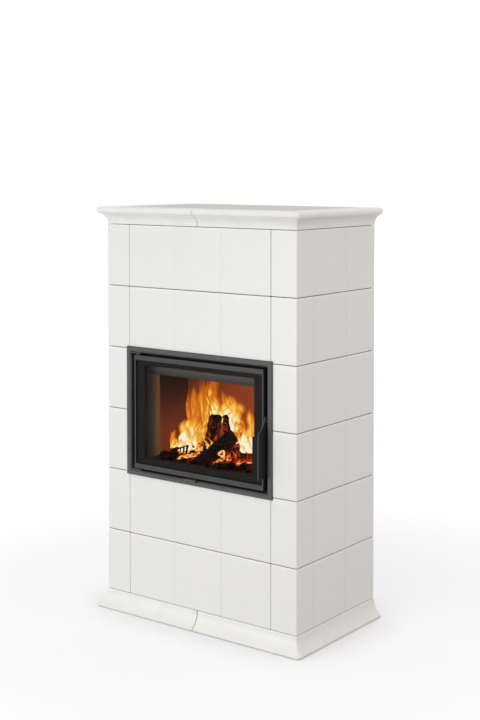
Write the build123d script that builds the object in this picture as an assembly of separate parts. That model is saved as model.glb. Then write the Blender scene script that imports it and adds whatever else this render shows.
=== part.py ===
"""Tiled stove: six courses of glazed tiles round a steel firebox with a glass door.

Millimetres, +Z up. The origin is on the floor, at the middle of the whole outline. The front faces -Y.
Depths are measured back from the face of the tiles, and heights of the body up from the top of the plinth.
"""

from build123d import *
import math
import os

# ---------------------------------------------------------------- driving dimensions
# Tile body
body_width = 826.0
body_depth = 478.0
course_height = 220.0
course_count = 6
corner_front_leg = 104.0  # how far a corner tile reaches round the front
tile_depth = 35.0  # face to back
tile_joint = 0.8
tile_edge_radius = 2.5
groove_width = 4.0
groove_depth = 0.8
side_groove_depths = (98.0, 294.0)  # back from the front face
first_door_course = 2  # counted from 0 at the bottom
door_courses = 2

# Plinth and cornice mouldings
plinth_height = 63.0
plinth_overhang = 30.0
plinth_lip = 3.0  # overhang of the lip at the top
plinth_lip_height = 5.0
plinth_lip_slope = 2.0
plinth_cove_middle = 6.0  # the cove's overhang past the lip, half way up
plinth_foot_height = 13.0
plinth_foot_setback = 1.0
plinth_shoulder_width = 5.0
plinth_shoulder_height = 3.0
plinth_corner_radius = 9.0  # of the foot, seen from above
cornice_height = 60.0
cornice_overhang = 32.0
cornice_roll_radius = 12.0
cornice_cove_overhang = 17.0
cornice_cove_middle = 4.5  # overhang of the cove's middle point
cornice_cove_middle_drop = 13.0  # that point below the cove's top
cornice_cove_start = 3.0
cornice_step = 2.0
moulding_wall = 60.0  # from the tile face inwards
moulding_joint = 0.8
moulding_foot_radius = 4.0
slab_thickness = 30.0
slab_ledge = 15.0
slab_rear_overhang = 10.0
slab_clearance = 0.6
slab_drop = 0.5  # below the moulding's top
slab_edge_radius = 1.5

# Door surround
frame_overlap_side = 9.0  # over the tiles beside the opening
frame_overlap_top = 8.0
frame_overlap_bottom = 9.0
frame_face_side = 20.0
frame_face_top = 19.5
frame_face_bottom = 18.0
frame_proud = 6.0
frame_flange_gap = 0.3  # flange to tile face
frame_wall = 3.0
frame_reveal_depth = 34.0
frame_outer_bevel = 2.0
frame_inner_bevel = 4.0

# Door leaf
slot_side = 16.0
slot_top = 10.0
slot_bottom = 8.5
leaf_proud = 5.0
leaf_depth = 27.0  # back of the leaf, from the tile face
leaf_side_wall = 5.0
leaf_side_proud = 3.5
leaf_top_strip = 16.0
leaf_bottom_strip = 17.0
glass_thickness = 4.0
glass_front = -1.5  # depth of the glass's front face
glass_tuck = 4.0  # glass behind the strips
glass_clearance = 0.3
gasket_tape = 2.0
print_side = 42.0  # printed border, from the leaf's edge
print_top = 32.5
print_bottom = 33.5
retainer_flange = 5.5
retainer_inset_side = 19.0  # the deeper part opens out by this much
retainer_inset_end = 8.0
gasket_width = 8.0
gasket_groove = 6.0
gasket_inset = 1.5  # from the retainer's edge
seal_gap = 0.3

# Hinges and latch
hinge_inset = 8.0  # pin axis from the leaf's left edge
hinge_depth = 8.0  # pin axis behind the tile face
hinge_pin_radius = 4.0
hinge_pin_clearance = 0.06
hinge_pin_in_leaf = 9.0
hinge_collar_radius = 8.0
hinge_plate_length = 46.0
hinge_plate_thickness = 4.5
hinge_plate_width = 24.0
hinge_gap = 0.3
handle_thickness = 3.0
handle_gap = 6.0  # leaf's edge to the plate
handle_standoff = 43.0  # grip's face in front of the tiles
grip_width = 25.0
grip_length = 141.5
grip_drop = 48.0  # grip's top below the pivot
handle_rise = 13.0  # plate's top above the pivot
handle_shoulder_drop = 38.0
handle_bend_reach = 19.9  # a point on the curved edge, in front of the tiles
handle_bend_drop = 19.6  # that point below the pivot
handle_rear = 6.0
handle_lug = 14.0  # lug's bottom below the pivot
handle_pivot_depth = 5.0
handle_pivot_rise = 232.5  # above the leaf's bottom
handle_pivot_radius = 5.0
handle_pivot_clearance = 0.06
handle_pivot_collar = 8.0
handle_pivot_head = 4.0
handle_pivot_in_leaf = 5.0
hook_reach = 30.0  # depth of the hook's back
hook_tip = 5.0
hook_beam = 7.0
latch_pin_radius = 3.5
latch_pin_gap = 0.5
latch_pin_length = 12.0

# Air control
slider_rest = -22.0
slider_travel = 40.0  # each way from the middle
slider_tab_width = 50.0
slider_tab_height = 8.0
slider_tab_thickness = 3.0
slider_tab_front = 16.0  # in front of the tiles
slider_neck_width = 30.0
slider_plate_width = 150.0
slider_plate_depth = 38.0
slider_thickness = 2.5
slider_lift = 1.3  # above the reveal
slot_play = 2.0
port_cut = 5.0  # how far a port's cut runs each way
port_width = 14.0
port_length = 24.0
port_pitch = 40.0
port_count = 3

# Firebox
firebox_side_inset = 22.0  # inside the leaf's edge
firebox_depth = 229.0  # from the back of the front plate
firebox_floor_rise = 28.5  # above the leaf's bottom
lining_drop = 28.5  # lining's top below the leaf's top
lining_thickness = 30.0
lining_floor_thickness = 25.0
lining_front_length = 46.0  # depth of the front side piece
brick_gap = 0.3
front_plate_thickness = 4.0
aperture_lip_bottom = 4.0  # front plate's opening below the floor brick's top
aperture_lip_top = 5.0  # and above the lining
casing_wall = 5.0
baffle_thickness = 22.0
smoke_gap = 14.7  # over the baffle
deflector_height = 47.0
deflector_thickness = 2.0
deflector_lean = 10.0
deflector_trim = 14.0
deflector_foot = 12.0  # stands behind the front plate
deflector_screw_radius = 4.0
deflector_screw_head = 1.5
deflector_screw_drop = 5.0
grate_length = 220.0
grate_width = 140.0
grate_thickness = 12.0
grate_bar = 8.0
grate_gap = 8.0
grate_setback = 7.5  # behind the firebox's middle
grate_clearance = 0.6
grate_seat = 10.0
pan_clearance = 2.0
pan_height = 48.0
pan_wall = 1.5
pan_flange = 8.0

# Smoke way
flue_radius = 75.0
flue_wall = 2.0
flue_depth = 170.0
flue_upright = 66.0  # straight pipe between the hood and the bend
flue_bend_radius = 130.0
hood_radius = 118.0
hood_height = 62.0
hood_wall = 3.0
rear_reach = 30.0  # past the back of the tiles
collar_clearance = 0.4
collar_wall = 3.5
collar_stop = 4.0
collar_flange_width = 16.0
collar_flange = 3.0
collar_length = 42.0

# Air way
air_box_half_width = 180.0
air_box_height = 131.0
air_box_setback = 8.5  # behind the front plate
air_box_depth = 215.5
air_box_wall = 2.0
air_pipe_radius = 50.0
air_pipe_wall = 1.5
air_axis_rise = 55.0  # above the air box's bottom
air_flange_width = 12.0
air_flange = 2.0

# Storage blocks
block_inner = 125.0
block_outer = 288.0
block_front = 70.0
block_back = 290.0
block_height = 360.0
block_edge = 3.0
block_hood_gap = 6.0

# Back panel
panel_thickness = 2.0
panel_floor_gap = 12.0
panel_slab_gap = 0.3
panel_hole_gap = 0.5
louvre_width = 70.0
louvre_height = 6.0
louvre_pitch = 18.0
louvre_rows = 6
louvre_columns = 5
louvre_column_pitch = 100.0
louvre_bottom = 60.0
panel_screw_radius = 4.5
panel_screw_head = 3.0
panel_screw_shank = 2.5
panel_screw_length = 8.0
panel_screw_rows = 4
panel_lug = 14.0

# Frame and stand under the firebox
channel = 40.0
channel_wall = 3.0
base_frame_bottom = 18.0
base_frame_side_gap = 4.0
leg_width = 40.0
leg_wall = 4.0
stand_rail = 20.0
low_rail = 60.0
foot_pad_radius = 22.0
foot_pad_height = 8.0
foot_stud_radius = 6.0
foot_nut_height = 8.0
foot_nut_radius = 11.0

# Straps over the joints, behind the tiles
strap_width = 30.0
strap_height = 60.0
strap_sheet = 2.0
strap_gap = 0.2
strap_side_depths = (130.0, 250.0, 370.0)
strap_front_places = (-200.0, -100.0, 100.0, 200.0)

# Firewood
ember_thickness = 12.0
ember_side_gap = 50.0  # to the side bricks
ember_front_gap = 58.0  # to the front plate
ember_back_gap = 11.0
ember_slope = 10.0
log_gap = 0.3
# name: start (across, depth, height), end, radius, sides, twist; from the middle of the firebox floor
log_shapes = {
    "right": ((48.0, -48.5, 34.0), (120.0, 87.5, 38.0), 30.0, 9, 8.0),
    "left": ((-205.0, 17.5, 27.0), (-60.0, 75.5, 31.0), 22.0, 6, 20.0),
    "cross": ((-112.0, -60.5, 24.0), (62.0, 23.5, 92.0), 25.0, 7, 12.0),
    "upright": ((8.0, 43.5, 22.0), (-6.0, -2.5, 154.0), 27.0, 6, 5.0),
}

# ---------------------------------------------------------------- worked out
body_bottom = plinth_height
body_height = course_height * course_count
body_top = body_bottom + body_height
total_height = body_top + cornice_height
front_reach = max(handle_standoff, cornice_overhang, plinth_overhang)
total_depth = front_reach + body_depth + rear_reach
face_y = front_reach - total_depth / 2
half_body = body_width / 2

opening_half = half_body - corner_front_leg
opening_bottom = course_height * first_door_course
opening_top = opening_bottom + course_height * door_courses

frame_half = opening_half + frame_overlap_side
frame_bottom = opening_bottom - frame_overlap_bottom
frame_top = opening_top + frame_overlap_top
reveal_half = frame_half - frame_face_side
reveal_bottom = frame_bottom + frame_face_bottom
reveal_top = frame_top - frame_face_top

leaf_half = reveal_half - slot_side
leaf_bottom = reveal_bottom + slot_bottom
leaf_top = reveal_top - slot_top
glass_back = glass_front + glass_thickness
retainer_front = glass_back + gasket_tape
window_half = leaf_half - print_side
window_bottom = leaf_bottom + print_bottom
window_top = leaf_top - print_top
pocket_half = leaf_half - leaf_side_wall
pocket_bottom = leaf_bottom + leaf_bottom_strip - glass_tuck
pocket_top = leaf_top - leaf_top_strip + glass_tuck

plate_back = frame_reveal_depth + front_plate_thickness
firebox_half_width = leaf_half - firebox_side_inset
firebox_back_depth = plate_back + firebox_depth
firebox_middle_depth = plate_back + firebox_depth / 2
firebox_floor = leaf_bottom + firebox_floor_rise
lining_front_depth = plate_back + lining_front_length
lining_top = leaf_top - lining_drop
aperture_bottom = firebox_floor - aperture_lip_bottom
aperture_top = lining_top + aperture_lip_top
deflector_bottom = aperture_top - deflector_height
casing_half = firebox_half_width + lining_thickness + brick_gap + casing_wall
casing_back = firebox_back_depth + lining_thickness + brick_gap + casing_wall
casing_bottom = firebox_floor - lining_floor_thickness - casing_wall
casing_top = lining_top + brick_gap + baffle_thickness + smoke_gap + casing_wall
shelf_height = reveal_bottom + slider_lift
hinge_x = -leaf_half + hinge_inset
handle_x = leaf_half + handle_gap
handle_pivot_height = leaf_bottom + handle_pivot_rise
grip_top = handle_pivot_height - grip_drop
grip_bottom = grip_top - grip_length
handle_top = handle_pivot_height + handle_rise
handle_shoulder = handle_pivot_height - handle_shoulder_drop
handle_lug_bottom = handle_pivot_height - handle_lug
grate_bottom = firebox_floor - grate_thickness
grate_middle_depth = firebox_middle_depth + grate_setback
flue_axis_height = casing_top + hood_height + flue_upright + flue_bend_radius
air_box_bottom = casing_bottom - air_box_height
air_box_front = plate_back + air_box_setback
air_box_back = air_box_front + air_box_depth
air_axis_height = air_box_bottom + air_axis_rise
panel_depth = body_depth
leg_front_depth = moulding_wall + base_frame_side_gap


# ---------------------------------------------------------------- helpers
def block(low, high):
    """A box between two corners given as (across, depth, height above the plinth)."""
    size = [high[i] - low[i] for i in range(3)]
    middle = [(high[i] + low[i]) / 2 for i in range(3)]
    return place(*middle) * Box(*size)


def place(across, depth, height):
    """A point given by its distance across, its depth behind the tile face and its height above the plinth."""
    return Pos(across, face_y + depth, body_bottom + height)


def rod_x(start, end, depth, height, radius):
    """A round rod along X."""
    middle = place((start + end) / 2, depth, height)
    return middle * Rot(0, 90, 0) * Cylinder(radius, abs(end - start))


def rod_y(across, start, end, height, radius):
    """A round rod along Y, between two depths."""
    middle = place(across, (start + end) / 2, height)
    return middle * Rot(90, 0, 0) * Cylinder(radius, abs(end - start))


def rod_z(across, depth, low, high, radius):
    """A round rod along Z."""
    return place(across, depth, (low + high) / 2) * Cylinder(radius, high - low)


def ring(half, low, high, inner_half, inner_low, inner_high, front, back):
    """A rectangular ring in the plane of the front, between two depths."""
    outer = block((-half, front, low), (half, back, high))
    hole = block((-inner_half, front - 1, inner_low), (inner_half, back + 1, inner_high))
    return outer - hole


def mirrored(shape):
    """The same piece on the other side of the stove."""
    return mirror(shape, about=Plane.YZ)


def side_sheet(points, low_x, high_x):
    """A flat sheet in the YZ plane, outlined by wire edges given in (depth, height)."""
    face = make_face(points)
    solid = extrude(face, amount=high_x - low_x, dir=(0, 0, 1))
    # the sketch's first axis is depth and its second is height
    turn = Plane(origin=(low_x, face_y, body_bottom), x_dir=(0, 1, 0), z_dir=(1, 0, 0))
    return turn * solid


# ---------------------------------------------------------------- tiles
def groove(across, depth, low, high):
    """The tool that cuts one shallow upright groove, centred on a point of the face."""
    radius = ((groove_width / 2) ** 2 + groove_depth**2) / (2 * groove_depth)
    return radius, place(across, depth, (low + high) / 2) * Cylinder(radius, high - low + 2)


def corner_tile(course):
    """Left corner tile: an L seen from above, rounded on every edge of its face."""
    low = course * course_height + tile_joint / 2
    high = (course + 1) * course_height - tile_joint / 2
    end = -opening_half - tile_joint / 2
    front = block((-half_body, 0, low), (end, tile_depth, high))
    side = block((-half_body, 0, low), (-half_body + tile_depth, body_depth, high))
    tile = front + side
    face_edges = [
        edge
        for edge in tile.edges()
        if on_tile_face(edge.center(), end)
    ]
    tile = fillet(face_edges, tile_edge_radius)
    for depth in side_groove_depths:
        radius, tool = groove(-half_body, depth, low, high)
        tile -= Pos(groove_depth - radius, 0, 0) * tool
    return tile


def on_tile_face(point, end):
    """True for the edges round the two outer faces of a left corner tile."""
    close = 0.01
    on_front = abs(point.Y - face_y) < close
    on_side = abs(point.X + half_body) < close
    return on_front or on_side


def front_tile(course):
    """Wide front tile with two shallow grooves."""
    low = course * course_height + tile_joint / 2
    high = (course + 1) * course_height - tile_joint / 2
    half = opening_half - tile_joint / 2
    tile = block((-half, 0, low), (half, tile_depth, high))
    tile = fillet(tile.faces().sort_by(Axis.Y)[0].edges(), tile_edge_radius)
    for across in (-opening_half / 3, opening_half / 3):
        radius, tool = groove(across, 0, low, high)
        tile -= Pos(0, groove_depth - radius, 0) * tool
    return tile


# ---------------------------------------------------------------- mouldings
def plinth_profile():
    """Outline of the plinth: (overhang, height from the floor), from the inner bottom round to the inner top."""
    foot = moulding_foot_radius
    nose = plinth_overhang
    shoulder = (nose - plinth_foot_setback, plinth_foot_height - plinth_shoulder_height)
    cove_low = (shoulder[0] - plinth_shoulder_width, plinth_foot_height)
    cove_high = (plinth_lip, plinth_height - plinth_lip_height)
    lip = (plinth_lip - plinth_lip_slope, plinth_height)
    return [
        Line((-moulding_wall, 0), (nose - foot, 0)),
        RadiusArc((nose - foot, 0), (nose, foot), foot),
        Line((nose, foot), shoulder),
        Line(shoulder, cove_low),
        ThreePointArc(cove_low, (plinth_lip + plinth_cove_middle, plinth_height / 2), cove_high),
        Line(cove_high, lip),
        Line(lip, (-moulding_wall, plinth_height)),
        Line((-moulding_wall, plinth_height), (-moulding_wall, 0)),
    ]


def cornice_profile():
    """Outline of the cornice: (overhang, height from its own bottom)."""
    roll = cornice_roll_radius
    roll_start = cornice_overhang - roll
    roll_bottom = cornice_height - 2 * roll
    cove_top = roll_bottom - cornice_step
    cove_middle = (cornice_cove_middle, cove_top - cornice_cove_middle_drop)
    return [
        Line((-moulding_wall, 0), (0, 0)),
        Line((0, 0), (0, cornice_cove_start)),
        ThreePointArc((0, cornice_cove_start), cove_middle, (cornice_cove_overhang, cove_top)),
        Line((cornice_cove_overhang, cove_top), (cornice_cove_overhang, roll_bottom)),
        Line((cornice_cove_overhang, roll_bottom), (roll_start, roll_bottom)),
        ThreePointArc(
            (roll_start, roll_bottom),
            (cornice_overhang, roll_bottom + roll),
            (roll_start, cornice_height),
        ),
        Line((roll_start, cornice_height), (-moulding_wall, cornice_height)),
        Line((-moulding_wall, cornice_height), (-moulding_wall, 0)),
    ]


def moulding_half(profile, bottom):
    """Right half of a moulding, mitred at the corner: what lies inside both the front run and the side run."""
    outline = make_face(profile)
    reach = max(plinth_overhang, cornice_overhang)
    run = half_body + reach
    front_plane = Plane(origin=(moulding_joint / 2, face_y, bottom), x_dir=(0, -1, 0), z_dir=(-1, 0, 0))
    side_plane = Plane(origin=(half_body, face_y + body_depth, bottom), x_dir=(1, 0, 0), z_dir=(0, -1, 0))
    long_front = front_plane * extrude(outline, amount=-(run - moulding_joint / 2))
    long_side = side_plane * extrude(outline, amount=body_depth + reach)
    mitre = mitre_wedge(run)
    return (long_front - mitre) + (long_side & mitre)


def mitre_wedge(run):
    """The part of the plan that belongs to the side run: below the diagonal through the corner of the body."""
    reach = run - half_body
    corner = (half_body, face_y)
    far = (corner[0] + 2 * reach, corner[1] - 2 * reach)
    inside = (corner[0] - body_depth, corner[1] + body_depth)
    outline = Polyline(inside, far, (far[0], inside[1]), inside)
    height = total_height * 2
    return Pos(0, 0, -height / 4) * extrude(make_face(outline), amount=height)


def plinth_half():
    """Right half of the plinth, with the foot rounded at the corner."""
    radius = plinth_corner_radius
    across, depth = half_body + plinth_overhang, -plinth_overhang
    low, high = -plinth_height, 0
    corner = block((across - radius, depth - 1, low - 1), (across + 1, depth + radius, high + 1))
    corner -= rod_z(across - radius, depth + radius, low - 2, high + 2, radius)
    return moulding_half(plinth_profile(), 0) - corner


def cornice_half():
    """Right half of the cornice, with the ledge that carries the top slab."""
    half = moulding_half(cornice_profile(), body_top)
    inside = moulding_wall - slab_ledge
    seat = block(
        (-1, inside, body_height + cornice_height - slab_thickness - slab_drop),
        (half_body - inside, body_depth + 1, body_height + cornice_height + 1),
    )
    return half - seat


def top_slab():
    """Right half of the flat top."""
    inside = moulding_wall - slab_ledge + slab_clearance
    high = body_height + cornice_height - slab_drop
    slab = block(
        (moulding_joint / 2, inside, high - slab_thickness),
        (half_body - inside, body_depth + slab_rear_overhang, high),
    )
    return fillet(slab.faces().sort_by(Axis.Z)[-1].edges(), slab_edge_radius)


# ---------------------------------------------------------------- door surround
def surround_frame():
    """Steel flange over the tiles with a reveal behind it."""
    flange = ring(
        frame_half, frame_bottom, frame_top, reveal_half, reveal_bottom, reveal_top, -frame_proud, -frame_flange_gap
    )
    front = flange.faces().sort_by(Axis.Y)[0]
    flange = chamfer(front.outer_wire().edges(), frame_outer_bevel)
    front = flange.faces().sort_by(Axis.Y)[0]
    flange = chamfer(front.inner_wires()[0].edges(), frame_inner_bevel)
    wall = frame_wall
    reveal = ring(
        reveal_half + wall,
        reveal_bottom - wall,
        reveal_top + wall,
        reveal_half,
        reveal_bottom,
        reveal_top,
        -frame_flange_gap - 1,
        frame_reveal_depth,
    )
    return flange + reveal


def hinges():
    """Two brackets in the slot, each with its collar and pin."""
    low_x = -reveal_half
    high_x = low_x + hinge_plate_length
    front = hinge_depth - hinge_plate_width / 2
    back = hinge_depth + hinge_plate_width / 2
    low_plate = reveal_bottom + hinge_plate_thickness
    lower = block((low_x, front, reveal_bottom), (high_x, back, low_plate))
    lower += rod_z(hinge_x, hinge_depth, low_plate, leaf_bottom - hinge_gap, hinge_collar_radius)
    lower += rod_z(hinge_x, hinge_depth, low_plate, leaf_bottom + hinge_pin_in_leaf, hinge_pin_radius)
    high_plate = reveal_top - hinge_plate_thickness
    upper = block((low_x, front, high_plate), (high_x, back, reveal_top))
    upper += rod_z(hinge_x, hinge_depth, leaf_top + hinge_gap, high_plate, hinge_collar_radius)
    upper += rod_z(hinge_x, hinge_depth, leaf_top - hinge_pin_in_leaf, high_plate, hinge_pin_radius)
    return [lower, upper]


def latch_pin():
    """Pin on the frame's right-hand reveal that the hook closes on."""
    depth, height = latch_place()
    pin = rod_x(reveal_half - latch_pin_length, reveal_half, depth, height, latch_pin_radius)
    return pin


def latch_place():
    """Depth and height of the latch pin: against the hook's tip, and above its beam."""
    depth = hook_reach - hook_tip - latch_pin_gap - latch_pin_radius
    height = handle_pivot_height + hook_beam / 2 + latch_pin_gap + latch_pin_radius
    return depth, height


# ---------------------------------------------------------------- door leaf
def door_frame():
    """Outer ring of the leaf: thin sides, and strips across the top and the bottom."""
    leaf = block((-leaf_half, -leaf_proud, leaf_bottom), (leaf_half, leaf_depth, leaf_top))
    leaf -= block(
        (-pocket_half, glass_front - glass_clearance, pocket_bottom),
        (pocket_half, leaf_depth + 1, pocket_top),
    )
    strip_low = leaf_bottom + leaf_bottom_strip
    strip_high = leaf_top - leaf_top_strip
    leaf -= block((-pocket_half, -leaf_proud - 1, strip_low), (pocket_half, leaf_depth, strip_high))
    for side in (-1, 1):
        inner, outer = sorted((side * (pocket_half - 1), side * (leaf_half + 1)))
        leaf -= block((inner, -leaf_proud - 1, strip_low), (outer, -leaf_side_proud, strip_high))
    bore = hinge_pin_radius + hinge_pin_clearance
    extra = 1.0
    leaf -= rod_z(hinge_x, hinge_depth, leaf_bottom - 1, leaf_bottom + hinge_pin_in_leaf + extra, bore)
    leaf -= rod_z(hinge_x, hinge_depth, leaf_top - hinge_pin_in_leaf - extra, leaf_top + 1, bore)
    leaf -= rod_x(pocket_half - 1, leaf_half + 1, handle_pivot_depth, handle_pivot_height, handle_pivot_radius)
    return leaf


def door_glass():
    """Ceramic glass pane, tucked behind the strips."""
    half = pocket_half - glass_clearance
    return block(
        (-half, glass_front, pocket_bottom + glass_clearance),
        (half, glass_back, pocket_top - glass_clearance),
    )


def glass_gasket():
    """Flat tape between the pane and its retainer."""
    half = pocket_half - glass_clearance
    margin = gasket_tape
    return ring(
        half - margin,
        pocket_bottom + margin,
        pocket_top - margin,
        window_half + margin,
        window_bottom + margin,
        window_top - margin,
        glass_back,
        retainer_front,
    )


def glass_retainer():
    """Steel inner frame that presses the pane forward and carries the door's rope seal."""
    half = pocket_half - glass_clearance
    low = pocket_bottom + glass_clearance
    high = pocket_top - glass_clearance
    flange_back = retainer_front + retainer_flange
    flange = ring(half, low, high, window_half, window_bottom, window_top, retainer_front, flange_back)
    body = ring(
        half,
        low,
        high,
        window_half + retainer_inset_side,
        window_bottom - retainer_inset_end,
        window_top + retainer_inset_end,
        flange_back - 1,
        leaf_depth,
    )
    return flange + body - rope_space(0, leaf_depth + 1)


def rope_space(shrink, back):
    """The rectangular track of the rope seal, from its groove to a given depth."""
    inset = glass_clearance + gasket_inset + shrink
    outer_half = pocket_half - inset
    outer_low = pocket_bottom + inset
    outer_high = pocket_top - inset
    width = gasket_width - 2 * shrink
    return ring(
        outer_half,
        outer_low,
        outer_high,
        outer_half - width,
        outer_low + width,
        outer_high - width,
        leaf_depth - gasket_groove + shrink,
        back,
    )


def door_gasket():
    """Rope seal in the back of the leaf."""
    return rope_space(seal_gap / 2, frame_reveal_depth - seal_gap)


# ---------------------------------------------------------------- handle
def door_handle():
    """Bent plate: curved side plate with a hook at the back, and a flat grip at the front."""
    hook_low = handle_pivot_height - hook_beam / 2
    beam_high = handle_pivot_height + hook_beam / 2
    tip_front = hook_reach - hook_tip
    tip_high = beam_high + 2 * latch_pin_radius + latch_pin_gap
    outline = [
        Line((-handle_standoff, grip_bottom), (-handle_standoff, handle_shoulder)),
        ThreePointArc(
            (-handle_standoff, handle_shoulder),
            (-handle_bend_reach, handle_pivot_height - handle_bend_drop),
            (-handle_rear, handle_top),
        ),
        Line((-handle_rear, handle_top), (handle_pivot_depth + handle_rear, handle_top)),
        Line((handle_pivot_depth + handle_rear, handle_top), (handle_pivot_depth + handle_rear, beam_high)),
        Line((handle_pivot_depth + handle_rear, beam_high), (tip_front, beam_high)),
        Line((tip_front, beam_high), (tip_front, tip_high)),
        Line((tip_front, tip_high), (hook_reach, tip_high - hook_tip)),
        Line((hook_reach, tip_high - hook_tip), (hook_reach, hook_low)),
        Line((hook_reach, hook_low), (handle_pivot_depth + handle_rear, handle_lug_bottom)),
        Line((handle_pivot_depth + handle_rear, handle_lug_bottom), (handle_rear, handle_lug_bottom)),
        Line((handle_rear, handle_lug_bottom), (handle_rear, grip_bottom)),
        Line((handle_rear, grip_bottom), (-handle_standoff, grip_bottom)),
    ]
    plate = side_sheet(outline, handle_x, handle_x + handle_thickness)
    grip = block(
        (handle_x + handle_thickness - grip_width, -handle_standoff, grip_bottom),
        (handle_x + handle_thickness, -handle_standoff + handle_thickness, grip_top),
    )
    bore = handle_pivot_radius + handle_pivot_clearance
    hole = rod_x(handle_x - 1, handle_x + handle_thickness + 1, handle_pivot_depth, handle_pivot_height, bore)
    return plate + grip - hole


def handle_pivot():
    """Shoulder screw that the handle turns on."""
    depth, height = handle_pivot_depth, handle_pivot_height
    shank_end = handle_x + handle_thickness + seal_gap
    screw = rod_x(leaf_half - handle_pivot_in_leaf, shank_end, depth, height, handle_pivot_radius)
    screw += rod_x(leaf_half, handle_x - seal_gap, depth, height, handle_pivot_collar)
    screw += rod_x(shank_end, shank_end + handle_pivot_head, depth, height, handle_pivot_collar)
    return screw


# ---------------------------------------------------------------- air control
def air_slider():
    """Tab, neck and ported plate in one bent sheet."""
    high = shelf_height + slider_thickness
    tab_back = -slider_tab_front + slider_tab_thickness
    half_tab = slider_tab_width / 2
    tab = block(
        (slider_rest - half_tab, -slider_tab_front, high - slider_tab_height),
        (slider_rest + half_tab, tab_back, high),
    )
    tongue = block((slider_rest - half_tab, tab_back - 1, shelf_height), (slider_rest + half_tab, 0, high))
    half_neck = slider_neck_width / 2
    plate_front = air_box_front + air_box_wall + seal_gap
    neck = block((slider_rest - half_neck, -1, shelf_height), (slider_rest + half_neck, plate_front + 1, high))
    half_plate = slider_plate_width / 2
    plate = block(
        (slider_rest - half_plate, plate_front, shelf_height),
        (slider_rest + half_plate, plate_front + slider_plate_depth, high),
    )
    slider = tab + tongue + neck + plate
    for across in port_places(slider_rest):
        slider -= port(across, shelf_height)
    return slider


def port_places(middle):
    """Where the ports are, along X."""
    return [middle + port_pitch * (i - (port_count - 1) / 2) for i in range(port_count)]


def port(across, height):
    """One port through the slider or its shelf."""
    depth = air_box_front + air_box_wall + seal_gap + slider_plate_depth / 2
    return block(
        (across - port_width / 2, depth - port_length / 2, height - port_cut),
        (across + port_width / 2, depth + port_length / 2, height + port_cut),
    )


def air_box():
    """Sheet box under the firebox: shelf with ports for the slider, and a mouth in front for its neck."""
    wall = air_box_wall
    half = air_box_half_width
    low, high = air_box_bottom, casing_bottom
    box = block((-half, air_box_front, low), (half, air_box_back, high))
    box -= block((-half + wall, air_box_front + wall, low + wall), (half - wall, air_box_back - wall, high + 1))
    mouth_half = slider_travel + slider_neck_width / 2 + slot_play
    box -= block(
        (-mouth_half, air_box_front - 1, shelf_height - seal_gap),
        (mouth_half, air_box_front + wall + 1, high + 1),
    )
    shelf_back = air_box_front + wall + slider_plate_depth + 2 * seal_gap
    shelf_top = shelf_height - seal_gap
    shelf = block((-half, air_box_front, shelf_top - wall), (half, shelf_back + wall, shelf_top))
    for across in port_places(0):
        shelf -= port(across, shelf_height)
    box += shelf
    box += block((-half, shelf_back, shelf_top - wall), (half, shelf_back + wall, high))
    box -= rod_y(0, air_box_back - wall - 1, air_box_back + 1, air_axis_height, air_pipe_radius - air_pipe_wall)
    return box


def air_duct():
    """Round duct from the air box to the back panel."""
    start, end = air_box_back, panel_depth - seal_gap
    pipe = rod_y(0, start, end, air_axis_height, air_pipe_radius)
    return pipe - rod_y(0, start - 1, end + 1, air_axis_height, air_pipe_radius - air_pipe_wall)


def air_spigot():
    """Flanged spigot on the outside of the back panel."""
    start = panel_depth + panel_thickness
    end = body_depth + rear_reach
    spigot = rod_y(0, start, start + air_flange, air_axis_height, air_pipe_radius + air_flange_width)
    spigot += rod_y(0, start, end, air_axis_height, air_pipe_radius)
    return spigot - rod_y(0, start - 1, end + 1, air_axis_height, air_pipe_radius - air_pipe_wall)


# ---------------------------------------------------------------- firebox
def firebox_front():
    """Front wall of the firebox, behind the frame's reveal, with the slot for the slider's neck."""
    half = reveal_half + frame_wall
    plate = ring(
        half,
        reveal_bottom - frame_wall,
        reveal_top + frame_wall,
        firebox_half_width,
        aperture_bottom,
        aperture_top,
        frame_reveal_depth,
        plate_back,
    )
    slot_half = slider_travel + slider_neck_width / 2 + slot_play
    slot = block(
        (-slot_half, frame_reveal_depth - 1, shelf_height - seal_gap),
        (slot_half, plate_back + 1, shelf_height + slider_thickness + slider_lift),
    )
    return plate - slot


def firebox_casing():
    """Welded sheet box round the lining, open at the front."""
    wall = casing_wall
    box = block((-casing_half, plate_back, casing_bottom), (casing_half, casing_back, casing_top))
    box -= block(
        (-casing_half + wall, plate_back - 1, casing_bottom + wall),
        (casing_half - wall, casing_back - wall, casing_top - wall),
    )
    box -= rod_z(0, flue_depth, casing_top - wall - 1, casing_top + 1, hood_radius - hood_wall - wall)
    pan_x, pan_y = pan_half_sizes()
    box -= block(
        (-pan_x, grate_middle_depth - pan_y, casing_bottom - 1),
        (pan_x, grate_middle_depth + pan_y, casing_bottom + wall + 1),
    )
    return box


def pan_half_sizes():
    """Half sizes of the well that the ash pan hangs in."""
    return grate_length / 2 - grate_seat, grate_width / 2 - grate_seat


def lining_side_front():
    """Right-hand front side brick."""
    return block(
        (firebox_half_width, plate_back + brick_gap, firebox_floor + brick_gap),
        (firebox_half_width + lining_thickness, lining_front_depth, lining_top),
    )


def lining_side_rear():
    """Right-hand rear side brick."""
    return block(
        (firebox_half_width, lining_front_depth + brick_gap, firebox_floor + brick_gap),
        (firebox_half_width + lining_thickness, firebox_back_depth, lining_top),
    )


def lining_back():
    """Back wall brick."""
    return block(
        (-firebox_half_width - lining_thickness, firebox_back_depth + brick_gap, firebox_floor + brick_gap),
        (firebox_half_width + lining_thickness, firebox_back_depth + lining_thickness, lining_top),
    )


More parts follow.
